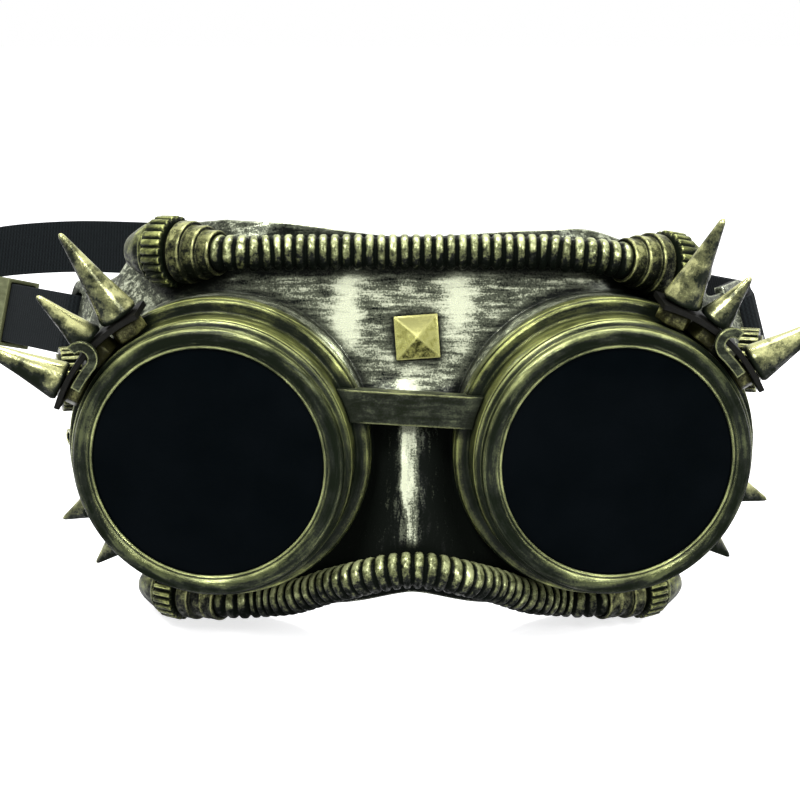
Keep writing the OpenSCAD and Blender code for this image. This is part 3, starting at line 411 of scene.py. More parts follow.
def nose_and_cheeks(tree, coords, backward):
    """Darker towards the bottom of the shell and black on the inside, with painted highlights on the
    forehead and down the nose.
    """
    split = node(tree, "ShaderNodeSeparateXYZ", {0: coords})
    # Darker from below the brow downwards, over the nose and cheeks.
    low = node(tree, "ShaderNodeMapRange", {0: split.outputs["Z"], 1: 0.004, 2: 0.019, 3: 0.55, 4: -0.06},
               interpolation_type="SMOOTHSTEP").outputs[0]
    # Painted highlights on the forehead and down the nose ridge lighten the colour.
    for patch in HIGHLIGHT_PATCHES:
        low = maths(tree, "SUBTRACT", low, painted_highlight(tree, split, *patch))
    inside = node(tree, "ShaderNodeMapRange", {0: backward, 1: 0.0, 2: 0.15, 3: 0.0, 4: 2.0}).outputs[0]
    return maths(tree, "ADD", low, inside)


shell_brass = aged_metal("shell_brass", (0.004, 0.005, 0.004), (0.075, 0.084, 0.056), (0.70, 0.74, 0.54),
                         wear=0.56, grain="face", rough=0.24, speckle=0.5, painted_top_light=0.15,
                         metallic=0.75, tone_and_highlights=nose_and_cheeks, patches=170)
cup_brass = aged_metal("cup_brass", (0.005, 0.007, 0.004), (0.080, 0.090, 0.026), (0.55, 0.59, 0.20),
                       wear=0.50, grain="round", rough=0.26, speckle=0.25, painted_top_light=0.3, patches=130)
rim_brass = aged_metal("rim_brass", (0.005, 0.007, 0.004), (0.052, 0.062, 0.022), (0.54, 0.58, 0.24),
                       wear=0.31, grain="round", rough=0.24, speckle=0.2, edge=0.0011, painted_top_light=0.6,
                       patches=120)
bridge_brass = aged_metal("bridge_brass", (0.008, 0.010, 0.006), (0.034, 0.041, 0.020), (0.30, 0.32, 0.14),
                          wear=0.40, grain=(0.2, 1, 1), rough=0.34, speckle=0.3, patches=260)
hose_brass = aged_metal("hose_brass", (0.003, 0.004, 0.003), (0.10, 0.11, 0.044), (0.56, 0.60, 0.30),
                        wear=0.54, rough=0.28, speckle=0.25, shade_reach=0.0011, edge=0.0003, painted_top_light=0.5,
                        groove_shade="groove")
fitting_brass = aged_metal("fitting_brass", (0.004, 0.005, 0.003), (0.090, 0.095, 0.034), (0.52, 0.53, 0.22),
                           wear=0.48, rough=0.28, shade_reach=0.0024, speckle=0.3, painted_top_light=0.35)
spike_brass = aged_metal("spike_brass", (0.006, 0.008, 0.005), (0.105, 0.110, 0.048), (0.64, 0.64, 0.29),
                         wear=0.49, grain=(0.5, 0.5, 0.5), rough=0.16, metallic=0.8, speckle=0.25,
                         painted_top_light=0.7)
nut_gold = aged_metal("nut_gold", (0.012, 0.012, 0.004), (0.17, 0.17, 0.055), (0.60, 0.60, 0.24),
                      wear=0.56, rough=0.3, metallic=0.7, speckle=0.3)
stud_gold = aged_metal("stud_gold", (0.03, 0.03, 0.008), (0.27, 0.265, 0.075), (0.60, 0.59, 0.22),
                       wear=0.80, rough=0.28, metallic=0.65, speckle=0.25, shade_reach=0.001, painted_top_light=0.6)


def rubber(name, color, rough, grit, specular):
    material, tree, bsdf = shader(name)
    cloud = noise(tree, object_coords(tree), 900, 4, 0.6)
    low = tuple(c * (1 - grit) for c in color)
    tree.links.new(ramp(tree, cloud, ((0.3, low), (0.7, color))), bsdf.inputs["Base Color"])
    bsdf.inputs["Specular IOR Level"].default_value = specular
    tree.links.new(maths(tree, "MULTIPLY_ADD", cloud, 0.12, rough - 0.06), bsdf.inputs["Roughness"])
    relief = node(tree, "ShaderNodeBump", {"Height": cloud, "Strength": 0.12, "Distance": 0.0002})
    tree.links.new(relief.outputs[0], bsdf.inputs["Normal"])
    return material


def smoked_lens(name):
    material, tree, bsdf = shader(name)
    smear = noise(tree, object_coords(tree), 60, 3, 0.5)
    tree.links.new(ramp(tree, smear, ((0.35, (0.0006, 0.0012, 0.0016)), (0.65, (0.0011, 0.0018, 0.0024)))),
                   bsdf.inputs["Base Color"])
    bsdf.inputs["Specular IOR Level"].default_value = 0.005
    tree.links.new(maths(tree, "MULTIPLY_ADD", smear, 0.08, 0.06), bsdf.inputs["Roughness"])
    return material


WEAVE_RIB, WEAVE_THREAD = 0.0009, 0.0011


def woven_elastic(name):
    """Black elastic: fine ribs across its width, crossed by threads along its length."""
    material, tree, bsdf = shader(name)
    uv = node(tree, "ShaderNodeUVMap", uv_map="run").outputs[0]
    split = node(tree, "ShaderNodeSeparateXYZ", {0: uv})
    ribs = maths(tree, "SINE", maths(tree, "MULTIPLY", split.outputs["X"], 2 * pi / WEAVE_RIB))
    lines = maths(tree, "SINE", maths(tree, "MULTIPLY", split.outputs["Y"], 2 * pi / WEAVE_THREAD))
    weave = maths(tree, "ADD", maths(tree, "MULTIPLY", ribs, 0.35),
                  maths(tree, "MULTIPLY", maths(tree, "MULTIPLY", lines, ribs), 0.25))
    fuzz = noise(tree, object_coords(tree), 3000, 3, 0.7)
    level = maths(tree, "ADD", maths(tree, "MULTIPLY", weave, 0.5), fuzz)
    tree.links.new(ramp(tree, level, ((0.2, (0.002, 0.0025, 0.003)), (0.85, (0.010, 0.013, 0.014)))),
                   bsdf.inputs["Base Color"])
    bsdf.inputs["Roughness"].default_value = 0.85
    bsdf.inputs["Specular IOR Level"].default_value = 0.06
    bsdf.inputs["Sheen Weight"].default_value = 0.04
    relief = node(tree, "ShaderNodeBump", {"Height": level, "Strength": 0.5, "Distance": 0.0002})
    tree.links.new(relief.outputs[0], bsdf.inputs["Normal"])
    return material


lens_smoke = smoked_lens("lens_smoke")
band_rubber = rubber("band_rubber", (0.006, 0.006, 0.005), rough=0.45, grit=0.5, specular=0.05)
gasket_rubber = rubber("gasket_rubber", (0.008, 0.008, 0.008), rough=0.7, grit=0.4, specular=0.2)
elastic = woven_elastic("elastic")
slider_olive = aged_metal("slider_olive", (0.07, 0.075, 0.035), (0.105, 0.115, 0.055), (0.18, 0.19, 0.09),
                          wear=0.6, rough=0.42, metallic=0.5, grain=(0.3, 0.3, 1), speckle=0.1)


# Face shell
def shell_blank():
    """The wall alone: its outside, its inside and the edge between them."""
    bm = bmesh.new()
    bmesh.ops.create_grid(bm, x_segments=168, y_segments=56, size=0.5)
    inner = {}
    for v in bm.verts:
        s, t = 2 * v.co.x, v.co.y + 0.5
        z = low_edge(s) + (top_edge(s) - low_edge(s)) * t
        v.co = face(s, z)
        inner[v] = v.co - outward(s, z) * WALL
    copy = bmesh.ops.duplicate(bm, geom=list(bm.faces))
    for v, place in inner.items():
        copy["vert_map"][v].co = place
    back = [g for g in copy["geom"] if isinstance(g, bmesh.types.BMFace)]
    bmesh.ops.reverse_faces(bm, faces=back)
    bmesh.ops.bridge_loops(bm, edges=[e for e in bm.edges if e.is_boundary])
    bmesh.ops.recalc_face_normals(bm, faces=bm.faces)
    return bm


def make_shell():
    blank = linked("shell_blank", mesh_of("shell_blank", shell_blank()))
    cutters = []
    seat_r = FLANGE_R + SPIGOT_GAP
    for side in SIDE:
        cut = lathe([(0, -12), (HOLE_R, -12), (HOLE_R, 0), (seat_r, 0), (seat_r, 20), (0, 20)])
        cut.transform(at_eye(side))
        bmesh.ops.recalc_face_normals(cut, faces=cut.faces)
        tool = linked("cutter", mesh_of("cutter", cut))
        cutters.append(tool)
        modifier = blank.modifiers.new("hole", "BOOLEAN")
        modifier.operation = "DIFFERENCE"
        modifier.solver = "EXACT"
        modifier.object = tool
    graph = bpy.context.evaluated_depsgraph_get()
    cut_mesh = bpy.data.meshes.new_from_object(blank.evaluated_get(graph))
    bm = bmesh.new()
    bm.from_mesh(cut_mesh)
    for old in (blank, *cutters):
        data = old.data
        bpy.data.objects.remove(old)
        bpy.data.meshes.remove(data)
    bpy.data.meshes.remove(cut_mesh)
    for side in SIDE:
        add(bm, boss_tube(side), at_eye(side))
        add(bm, strap_lug(), at_lug(side))
    return bm


def boss_tube(side):
    """The moulded barrel behind a cup, each point of its back end set into the shell's wall."""
    inner = BOSS_R - BOSS_WALL
    bm = lathe(rounded([(inner, 0), (BOSS_R, 0, 0.5), (BOSS_R, -1), (inner, -1)], 0.1), 128)
    place = at_eye(side)
    for v in bm.verts:
        if v.co.z > -0.7:
            continue
        low, high = 0.5, BOSS_LEN
        for _ in range(20):
            mid = (low + high) / 2
            p = place @ Vector((v.co.x, v.co.y, -mid))
            low, high = (mid, high) if p.y < surface_y(p.x, p.z) + 0.5 * WALL else (low, mid)
        v.co.z = -low
    return bm


LUG_ROOT = on_face(1, STRAP_Z, -WALL / 2)


def at_lug(side):
    return flip(side) @ move(*LUG_ROOT) @ turn("Z", LUG_TURN) @ turn("X", -LEAN)


def strap_lug():
    """A flat lug with a slot, its strap bar at the far end."""
    bm = bmesh.new()
    half, slot_half = LUG_H / 2, STRAP_W / 2 + 1
    slot_end = LUG_LEN - BAR_W
    slot_start = slot_end - SLOT_W
    outline = [(-3, -half), (LUG_LEN, -half, 4), (LUG_LEN, half, 4), (-3, half)]
    slot = [(slot_start, -slot_half), (slot_end, -slot_half), (slot_end, slot_half), (slot_start, slot_half)]
    loops = []
    for corners, radius in ((outline, 0.5), (slot, 1)):
        ring = [bm.verts.new((p.x, -WALL / 2, p.y)) for p in rounded(corners, radius, 6)]
        loops += [bm.edges.new((ring[i - 1], ring[i])) for i in range(len(ring))]
    bmesh.ops.triangle_fill(bm, edges=loops, use_beauty=True)
    thicken(bm, (0, WALL, 0))
    soften(bm, [e for e in bm.edges if e.calc_face_angle(0) > 1.2
                and abs(e.verts[0].co.y - e.verts[1].co.y) < 0.1], 0.35)
    return bm


piece("face_shell_moulding", make_shell(), shell_brass, "face_shell", sharp=40)


# Eyepieces
def cup_outline():
    inner, sleeve, spigot = BARREL_R - BARREL_WALL, VIEW_R + SLEEVE_WALL, HOLE_R - SPIGOT_GAP
    edge = FLANGE_R - 0.5
    return rounded([(VIEW_R, -SPIGOT_LEN), (spigot, -SPIGOT_LEN), (spigot, 0, 0), (FLANGE_R, 0, 0.6),
                    (FLANGE_R, 3.4, 0.3), (edge, 3.7, 0.2), (edge, 4.2, 0.2), (FLANGE_R - 0.2, 4.4, 0.3),
                    (edge, FLANGE_T, 0.4), (BARREL_R + 0.4, FLANGE_T, 0.3), (BARREL_R, 5.6, 0.3),
                    (BARREL_R, BARREL_TOP, 0.4), (inner, BARREL_TOP, 0.2), (inner, FLANGE_T, 0.2),
                    (sleeve, FLANGE_T, 0.2), (sleeve, SLEEVE_TOP, 0.2), (VIEW_R, SLEEVE_TOP, 0.2)], 0.2)


def rim_outline():
    tube_end, bead_top = RIM_FOOT - TUBE_LEN, RIM_FOOT + BEAD_W
    return rounded([(TUBE_IN, tube_end), (TUBE_R, tube_end, 0.3), (TUBE_R, RIM_FOOT, 0),
                    (BEAD_R, RIM_FOOT, 0.6), (BEAD_R, bead_top, 0.6),
                    (RIM_R + 0.1, bead_top + 0.3, 0.2), (RIM_R, 14.2, 0.1), (RIM_R, 16.8, 2.0),
                    (28.0, RIM_FRONT, 0.9), (26.7, 16.55, 0.3), (26.5, 16.2, 0.15),
                    (26.1, 16.45, 0.25), (APERTURE_R, 16.3, 0.2), (APERTURE_R, LIP_BACK, 0.1),
                    (TUBE_IN, LIP_BACK, 0.1)], 0.15, 4)


def lens_outline():
    r, front = TUBE_IN - LENS_GAP, LENS_BACK + LENS_T
    return rounded([(0, LENS_BACK), (r, LENS_BACK), (r, front), (0, front)], 0.2, closed=False)


for side, word in SIDE.items():
    place = at_eye(side)
    piece(f"eye_cup_{word}_turned", lathe(cup_outline(), 160), cup_brass, f"eye_cup_{word}",
          place=place, sharp=30)
    piece(f"screw_rim_{word}_turned", lathe(rim_outline(), 160), rim_brass, f"rim_{word}",
          body=f"screw_rim_{word}", place=place, sharp=30)
    piece(f"lens_{word}_disc", lathe(lens_outline(), 128), lens_smoke, f"lens_{word}",
          body=f"lens_set_{word}", place=place)


# Stud on the forehead
def pyramid():
    bm = bmesh.new()
    bmesh.ops.create_cube(bm, size=1)
    bmesh.ops.scale(bm, vec=(2 * STUD_HALF, 2 * STUD_HALF, STUD_BASE), verts=bm.verts)
    bmesh.ops.translate(bm, vec=(0, 0, STUD_BASE / 2), verts=bm.verts)
    top = max(bm.faces, key=lambda f: f.calc_center_median().z)
    bmesh.ops.inset_region(bm, faces=[top], thickness=0.4)
    inset = [f for f in bm.faces if f.normal.z > 0.9 and f.calc_area() > 60]
    for v in bmesh.ops.poke(bm, faces=inset)["verts"]:
        v.co.z += STUD_H
    soften(bm, [e for e in bm.edges if e.calc_face_angle(0) > 0.3], 0.22)
    return bm


slope = atan2(face(0, STUD_Z + 4).y - face(0, STUD_Z - 4).y, 8)
on_brow = move(STUD_X, face(0, STUD_Z).y - 0.25, STUD_Z) @ Matrix.Rotation(-slope, 4, "X")
piece("pyramid_stud_cast", pyramid(), stud_gold, "pyramid_stud",
      place=on_brow @ turn("Y", -STUD_TURN) @ turn("X", 90))


# Hoses
def end_rise(s):
    return ease((abs(s) - 0.36) / 0.11)


def brow_point(s):
    drop = BROW_DROP[-1 if s < 0 else 1]
    z = BROW_LINE - drop * (max(abs(s) - 0.36, 0) / 0.13) ** 1.8
    return on_face(s, z, HOSE_R + HOSE_GAP + end_rise(s))


def cheek_point(s):
    """The cheek hose dips from the nose and runs round under the flanges."""
    x = plan(abs(s), -36)[0]
    arch = ARCH_TOP + ARCH_DROP * (1 - exp(-((x / ARCH_SPREAD) ** 2)))
    off = HOSE_R + HOSE_GAP
    round_flange = sqrt(max((FLANGE_R + off) ** 2 - (x - EYE_X) ** 2, 0))
    z = -(max(arch, round_flange) + 0.8 * log(1 + exp(-abs(arch - round_flange) / 0.8)))
    return face(s, z) - Vector((0, (off + end_rise(s)) / max(0.52, -outward(s, z).y), 0))


HOSES = {"brow": (brow_point, {-1: 0.487, 1: 0.515}), "cheek": (cheek_point, {-1: 0.5, 1: 0.5})}
ROUTE_STEPS, RIB_STEPS, HOSE_SIDES = 400, 10, 24


def end_of(kind, side):
    point, ends = HOSES[kind]
    last = point(side * ends[side])
    way = (last - point(side * (ends[side] - 0.008))).normalized()
    return last, turn("Z", side * FIT_TURN) @ way


def lengths(path):
    """The way along a path to each of its points."""
    sums = [0]
    for a, b in zip(path, path[1:]):
        sums.append(sums[-1] + (b - a).length)
    return sums


def hose(kind):
    """A moulded hose: rounded ribs with narrow grooves between them."""
    point, ends = HOSES[kind]
    path = [point(-ends[-1] + (ends[-1] + ends[1]) * i / ROUTE_STEPS) for i in range(ROUTE_STEPS + 1)]
    tips = [last + way * END_LEN for last, way in (end_of(kind, side) for side in SIDE)]
    path = [tips[0], *path, tips[1]]
    sums = lengths(path)
    count = round(sums[-1] / RIB_PITCH) * RIB_STEPS
    rings = []
    k = 0
    for i in range(count + 1):
        d = sums[-1] * i / count
        while k < len(sums) - 2 and sums[k + 1] < d:
            k += 1
        t = (d - sums[k]) / (sums[k + 1] - sums[k])
        rings.append(path[k].lerp(path[k + 1], t))
    bm = bmesh.new()
    cut = bm.verts.layers.float.new("groove")
    bmesh.ops.create_grid(bm, x_segments=count, y_segments=HOSE_SIDES, size=0.5)
    for v in bm.verts:
        i, j = round((v.co.x + 0.5) * count), round((v.co.y + 0.5) * HOSE_SIDES)
        way = (rings[min(i + 3, count)] - rings[max(i - 3, 0)]).normalized()
        u = way.cross(UP).normalized()
        w = u.cross(way)
        groove = abs(cos(pi * i / RIB_STEPS)) ** 5
        # The groove weight also sets the painted shade in the grooves.
        v[cut] = groove**2
        r = HOSE_R - GROOVE * groove
        a = 2 * pi * j / HOSE_SIDES
        v.co = rings[i] + (u * cos(a) + w * sin(a)) * r
    bmesh.ops.remove_doubles(bm, verts=bm.verts, dist=0.01)
    cap_ends(bm)
    return bm


KNURL_AT = COLLAR_LEN + NECK_LEN + 0.1
CAP_AT = KNURL_AT + KNURL_W + 0.1
# A fitting's back is pressed flat up to this far from the middle of the shell
SEAT_REACH = 78


def at_fitting(kind, side):
    last, way = end_of(kind, side)
    p = last + way * MOUTH_AT
    return move(*p) @ Matrix.Rotation(atan2(way.y, way.x), 4, "Z") @ Matrix.Rotation(acos(way.z), 4, "Y")


def seated(bm, place):
    """A fitting in its place, its back pressed flat where it sits on the shell."""
    bm.transform(place)
    for v in bm.verts:
        if abs(v.co.x) < SEAT_REACH:
            v.co.y = min(v.co.y, surface_y(v.co.x, v.co.z) - 1.4 * SEAT_GAP)
    return bm


def collar(kind):
    k = FIT[kind]
    r0, r1, r2 = (max(r * k, 5.05) for r in STEP_R)
    neck, socket = NECK_R * k, HOSE_R + SOCKET_GAP
    deep, end = END_LEN - MOUTH_AT + 0.1, COLLAR_LEN + NECK_LEN
    return lathe(rounded([(socket, 0), (r0, 0, 0.9), (r0, 3.2, 0.2), (r1, 3.2, 0.9), (r1, 6.6, 0.25),
                          (r2, 6.6, 0.9), (r2, COLLAR_LEN, 0.8), (neck, COLLAR_LEN, 0.2), (neck, end, 0.2),
                          (HOSE_BORE, end), (HOSE_BORE, deep), (socket, deep)], 0.1, 5), 72)


def knurled_ring(kind):
    """A ring with rounded teeth cut along its edge."""
    r, teeth = KNURL_R * FIT[kind], KNURL_TEETH
    bm = bmesh.new()
    bmesh.ops.create_circle(bm, cap_ends=False, radius=r, segments=teeth * 6)
    for v in bm.verts:
        a = (atan2(v.co.y, v.co.x) / (2 * pi) * teeth) % 1
        cut = KNURL_DEPTH * ease(abs(a - 0.5) * 4 - 1.0)
        v.co.xy *= (r - cut) / r
    bmesh.ops.create_circle(bm, cap_ends=False, radius=HOSE_BORE, segments=48)
    bmesh.ops.triangle_fill(bm, edges=list(bm.edges), use_beauty=True)
    thicken(bm, (0, 0, KNURL_W))
    tooth_foot = r - KNURL_DEPTH - 0.3
    soften(bm, [e for e in bm.edges if e.calc_face_angle(0) > 1.2
                and abs(e.verts[0].co.z - e.verts[1].co.z) < 0.1
                and e.verts[0].co.xy.length > tooth_foot], 0.45)
    return bm


def end_cap(kind):
    k = FIT[kind]
    r, nose = CAP_R * k, CAP_NOSE * k
    return lathe(rounded([(0, 0), (r, 0, 0.4), (r, 1.2, 0.5), (r - 0.5, 1.35, 0.2), (r - 1.0, 3.2, 0.6),
                          (nose + 0.5, 6.3, 1.6), (nose - 0.6, 8.0, 1.5), (0, 8.45)],
                         0.3, 5, closed=False), 72)


for kind in HOSES:
    piece(f"{kind}_hose_moulded", hose(kind), hose_brass, f"{kind}_hose", sharp=60)
    for side, word in SIDE.items():
        place = at_fitting(kind, side)
        for name, made, at, metal in (("collar", collar(kind), 0, fitting_brass),
                                      ("knurl", knurled_ring(kind), KNURL_AT, cup_brass),
                                      ("cap", end_cap(kind), CAP_AT, cup_brass)):
            piece(f"{kind}_{name}_{word}_turned", seated(made, place @ move(0, 0, at)), metal,
                  f"{kind}_{name}_{word}")


# Spikes, nuts and bands
BAND_FOOT = NUT_FOOT + NUT_H + 0.25
SPIKE_FOOT = BAND_FOOT + BAND_T + 0.35


def spike(r, h):
    drop = SPIKE_FOOT - NUT_FOOT - 0.2
    return lathe(rounded([(0, -drop), (SHANK_R, -drop, 0.2), (SHANK_R, 0, 0),
                          (r - 0.4, 0, 0.2), (r, 0.8, 0.5),
                          (r * 0.60, h * 0.43, 1), (0.72, h - 0.75, 0.3), (0.35, h - 0.12, 0.25), (0, h)],
                         0.2, 4, closed=False), 64)


def small_cone():
    outline = [(0, 0), (CONE_R, 0, 0.3), (CONE_R, 0.6, 0.4), (0.5, CONE_LEN - 0.5, 0.3), (0, CONE_LEN)]
    return lathe(rounded(outline, 0.2, 3, closed=False), 48)


def hex_nut():
    bm = bmesh.new()
    r = NUT_FLATS / sqrt(3)
    bmesh.ops.create_cone(bm, cap_ends=True, segments=6, radius1=r, radius2=r, depth=NUT_H)
    bmesh.ops.translate(bm, vec=(0, 0, NUT_H / 2), verts=bm.verts)
    soften(bm, list(bm.edges), 0.35, 3)
    return bm


def spike_band(side):
    """A flat band bent round the barrel under the spikes."""
    a = SPIKES[side]
    tilt = radians(SPIKE_LEAN)
    low, half = BAND_FOOT - NUT_FOOT, BAND_W / 2
    outline = []
    for p in rounded([(low, -half), (low + BAND_T, -half), (low + BAND_T, half), (low, half)], 0.35):
        outline.append((NUT_FOOT + p.x * cos(tilt) - p.y * sin(tilt),
                        SPIKE_Z + p.x * sin(tilt) + p.y * cos(tilt)))
    bm = lathe(outline, 48, radians(a[0] - a[2] + 2 * BAND_END))
    bm.transform(turn("Z", a[2] - BAND_END))
    return bm


for side, word in SIDE.items():
    for k, name in enumerate(("upper", "middle", "lower")):
        piece(f"spike_{name}_{word}_cone", spike(SPIKE_R[k], SPIKE_LEN[side][k]), spike_brass,
              f"spike_{name}_{word}", place=at_spike(side, k, SPIKE_FOOT), sharp=25)
    nuts = bmesh.new()
    for k in range(3):
        add(nuts, hex_nut(), at_spike(side, k, NUT_FOOT))
    piece(f"spike_nuts_{word}_cast", nuts, nut_gold, f"spike_nuts_{word}")
    piece(f"spike_band_{word}_strip", spike_band(side), band_rubber, f"spike_band_{word}",
          place=at_eye(side))
    cones = bmesh.new()
    for a in CONES[side]:
        add(cones, small_cone(),
            at_eye(side) @ turn("Z", -a) @ move(BOSS_R + 0.25, 0, -CONE_Z) @ turn("Y", 90))
    piece(f"cones_{word}_cast", cones, spike_brass, f"cones_{word}", sharp=25)


# Head strap
def run_way(run):
    return Vector((cos(radians(run)), sin(radians(run)), 0))


BAR_MID = LUG_ROOT + run_way(LUG_TURN) * (LUG_LEN - BAR_W / 2)


def strap_up(run):
    inward = Vector((-sin(radians(run)), cos(radians(run)), 0))
    return (UP * cos(radians(LEAN)) + inward * sin(radians(LEAN))).normalized()


def strap_out(run):
    return run_way(run).cross(strap_up(run)).normalized()


def layer(run, d, k):
    """A point d along a doubled strap, on its outer layer for k = 1 and its inner one for -1."""
    return BAR_MID + run_way(run) * d + strap_out(run) * (k * LAYER / 2)


def fold(run):
    """The half turn round the strap bar, from the inner layer to the outer one."""
    angles = [pi * (1 - i / FOLD_STEPS) for i in range(FOLD_STEPS + 1)]
    return [BAR_MID - run_way(run) * (0.8 + LAYER / 2 * sin(a)) + strap_out(run) * (LAYER / 2 * cos(a))
            for a in angles]


def mirrored(p):
    return Vector((-p.x, p.y, p.z))


# Points behind the head, from left to right
LOOP = [Vector(p) for p in ((-133.7, 89.6, 20.5), (-135, 100, 22.5), (-131, 109, 25), (-119, 115.5, 27.5),
                            (-100, 117, 28.8), (-80, 113.5, 29), (-58, 108.5, 28.5), (-32, 103, 27.5),
                            (-4, 98, 26), (22, 94.5, 24.5), (46, 90.5, 22.5), (64, 85.5, 21),
                            (77, 78.5, 20.3), (85, 69.5, 20))]
FOLD_STEPS, PATH_STEP = 24, 1.5


def smooth_path(points):
    """A smooth curve through the points, in even short steps."""
    out = [points[0]]
    last = len(points) - 1
    for i in range(last):
        a, b, c, d = points[max(i - 1, 0)], points[i], points[i + 1], points[min(i + 2, last)]
        n = max(1, ceil((c - b).length / PATH_STEP))
        for k in range(1, n + 1):
            t = k / n
            bend, twist = 2 * a - 5 * b + 4 * c - d, 3 * b - 3 * c + d - a
            out.append(0.5 * (2 * b + (c - a) * t + bend * t * t + twist * t**3))
    return out


def left_side(*stops):
    return [mirrored(layer(LEFT_RUN, d, k)) for d, k in stops]


def strap_path():
    """From the tail on the left, round its bar, behind the head and round the right bar."""
    right = RIGHT_RUN
    parts = (smooth_path(left_side((54, -1), (39, -1), (24, -1), (8, -1), (0, -1))),
             [mirrored(p) for p in fold(LEFT_RUN)],
             smooth_path(left_side((0, 1), (12, 1), (24, 1), (40, 1), (50, 1))),
             smooth_path([*left_side((50, 1), (DOUBLED, 1), (62, 0.3)), *LOOP,
                          layer(right, 16, 1), layer(right, 8, 1), layer(right, 0, 1)]),
             reversed(fold(right)),
             smooth_path([layer(right, d, -1) for d in (0, 6, 13, SEWN)]))
    path = []
    for part in parts:
        for p in part:
            if not path or (p - path[-1]).length > 0.15:
                path.append(p)
    return path


def head_strap():
    path = strap_path()
    sums = lengths(path)
    last = len(path) - 1
    start, end = mirrored(layer(LEFT_RUN, DOUBLED, 1)), layer(RIGHT_RUN, 16, 1)
    i0 = min(range(last // 4, last), key=lambda i: (path[i] - start).length)
    i1 = min(range(last // 2, last), key=lambda i: (path[i] - end).length)
    up_left, up_right = mirrored(strap_up(LEFT_RUN)), strap_up(RIGHT_RUN)
    wide, thick = STRAP_W / 2, STRAP_T / 2
    corners = rounded([(-wide, -thick), (wide, -thick), (wide, thick), (-wide, thick)], 0.45)
    around = len(corners)
    bm = bmesh.new()
    bmesh.ops.create_grid(bm, x_segments=last, y_segments=around, size=0.5)
    run_uv = bm.loops.layers.uv.new("run")
    marks = {}
    for v in bm.verts:
        i, j = round((v.co.x + 0.5) * last), round((v.co.y + 0.5) * around)
        way = (path[min(i + 1, last)] - path[max(i - 1, 0)]).normalized()
        t = min(max((sums[i] - sums[i0]) / (sums[i1] - sums[i0]), 0), 1)
        lean = ease(abs(2 * t - 1))
        up = ((up_left if t < 0.5 else up_right) * lean + UP * (1 - lean)).normalized()
        out = way.cross(up).normalized()
        c = corners[j % around]
        marks[v] = (sums[i] / 1000, c.x / 1000)
        v.co = path[i] + up * c.x + out * c.y
    for f in bm.faces:
        for corner in f.loops:
            corner[run_uv].uv = marks[corner.vert]
    bmesh.ops.remove_doubles(bm, verts=bm.verts, dist=0.002)
    cap_ends(bm)
    return bm, sums[-1] / 1000


strap_mesh, strap_length = head_strap()
strap = piece("head_strap_woven", strap_mesh, elastic, "head_strap", sharp=50)


# Finishes of the CAD pieces that stay
FINISH = {"bridge_bar": bridge_brass, "strap_slider": slider_olive, "slider_bar": slider_olive}
for word in SIDE.values():
    FINISH |= {f"gasket_{word}": gasket_rubber, f"side_disc_{word}": fitting_brass,
               f"side_clip_{word}": bridge_brass, f"side_bolt_{word}": spike_brass,
               f"bolt_washer_{word}": band_rubber}
for name, material in FINISH.items():
    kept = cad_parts[name]
    kept.data.materials.clear()
    kept.data.materials.append(material)


# Floor, light and camera
LAMPS = (("key", (-0.30, -0.60, 0.75), 0.25, 10), ("fill", (0.45, -0.65, 0.45), 0.25, 5),
         ("top", (0.05, 0.15, 0.9), 0.4, 6))
CAMERA_AT, AIM_AT = Vector((-0.0054, -0.3647, 0.0968)), Vector((0, -0.018, 0))
# The focal length and how far the aim lies from the picture's middle, in pixels of the photo
FOCAL, RIGHT_OF, BELOW = 1650, 13, 64.7


def white_to_the_eye(tree):
    """1 where a camera, mirror or glass ray looks, 0 for the light itself."""
    rays = node(tree, "ShaderNodeLightPath")
    seen = maths(tree, "MAXIMUM", rays.outputs["Is Camera Ray"], rays.outputs["Is Glossy Ray"])
    return maths(tree, "MAXIMUM", seen, rays.outputs["Is Transmission Ray"])


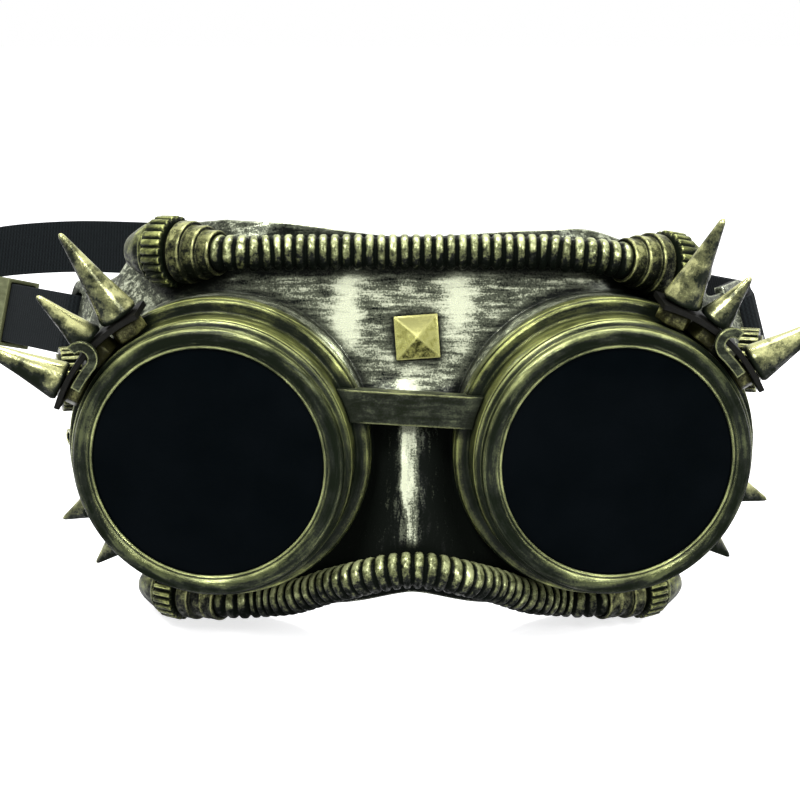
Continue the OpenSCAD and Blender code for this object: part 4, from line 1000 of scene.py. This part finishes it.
def floor():
    bm = bmesh.new()
    bmesh.ops.create_grid(bm, x_segments=1, y_segments=1, size=6)
    bmesh.ops.translate(bm, vec=(0, 0, cad_bounds[0][2] - 0.0005), verts=bm.verts)
    obj = linked("floor", mesh_of("floor", bm))
    material, tree, bsdf = shader("pale_floor")
    bsdf.inputs["Base Color"].default_value = (0.9, 0.9, 0.9, 1)
    bsdf.inputs["Roughness"].default_value = 0.9
    bsdf.inputs["Specular IOR Level"].default_value = 0.1
    bsdf.inputs["Emission Color"].default_value = (1, 1, 1, 1)
    glow = maths(tree, "MULTIPLY", white_to_the_eye(tree), 0.75)
    tree.links.new(glow, bsdf.inputs["Emission Strength"])
    obj.data.materials.append(material)


def surroundings():
    world = bpy.data.worlds.new("studio")
    bpy.context.scene.world = world
    world.use_nodes = True
    tree = world.node_tree
    tree.nodes.clear()
    lit = node(tree, "ShaderNodeBackground", {"Color": (0.86, 0.88, 0.92, 1), "Strength": 0.4})
    white = node(tree, "ShaderNodeBackground", {"Color": (1, 1, 1, 1), "Strength": 1.0})
    mix = node(tree, "ShaderNodeMixShader", {0: white_to_the_eye(tree), 1: lit.outputs[0],
               2: white.outputs[0]})
    tree.links.new(mix.outputs[0], node(tree, "ShaderNodeOutputWorld").inputs["Surface"])


def lamps():
    for name, place, size, power in LAMPS:
        lamp = bpy.data.lights.new(name, "AREA")
        lamp.size = size
        lamp.energy = power
        aim = Vector(place).to_track_quat("Z", "Y").to_matrix().to_4x4()
        linked(name, lamp).matrix_world = Matrix.Translation(place) @ aim


def view_axes(toward):
    right = toward.cross(UP).normalized()
    return right, right.cross(toward)


def photo_camera():
    camera = bpy.data.cameras.new("photo_view")
    camera.sensor_width = 36
    camera.lens = 74.25
    camera.clip_start = 0.01
    eye = linked("photo_view", camera)
    toward = (AIM_AT - CAMERA_AT).normalized()
    right, up = view_axes(toward)
    toward = (toward - right * (RIGHT_OF / FOCAL) + up * (BELOW / FOCAL)).normalized()
    right, up = view_axes(toward)
    axes = Matrix((right, up, -toward)).transposed().to_4x4()
    eye.matrix_world = Matrix.Translation(CAMERA_AT) @ axes
    bpy.context.scene.camera = eye


bpy.context.scene.view_settings.view_transform = "Standard"
floor()
surroundings()
lamps()
photo_camera()
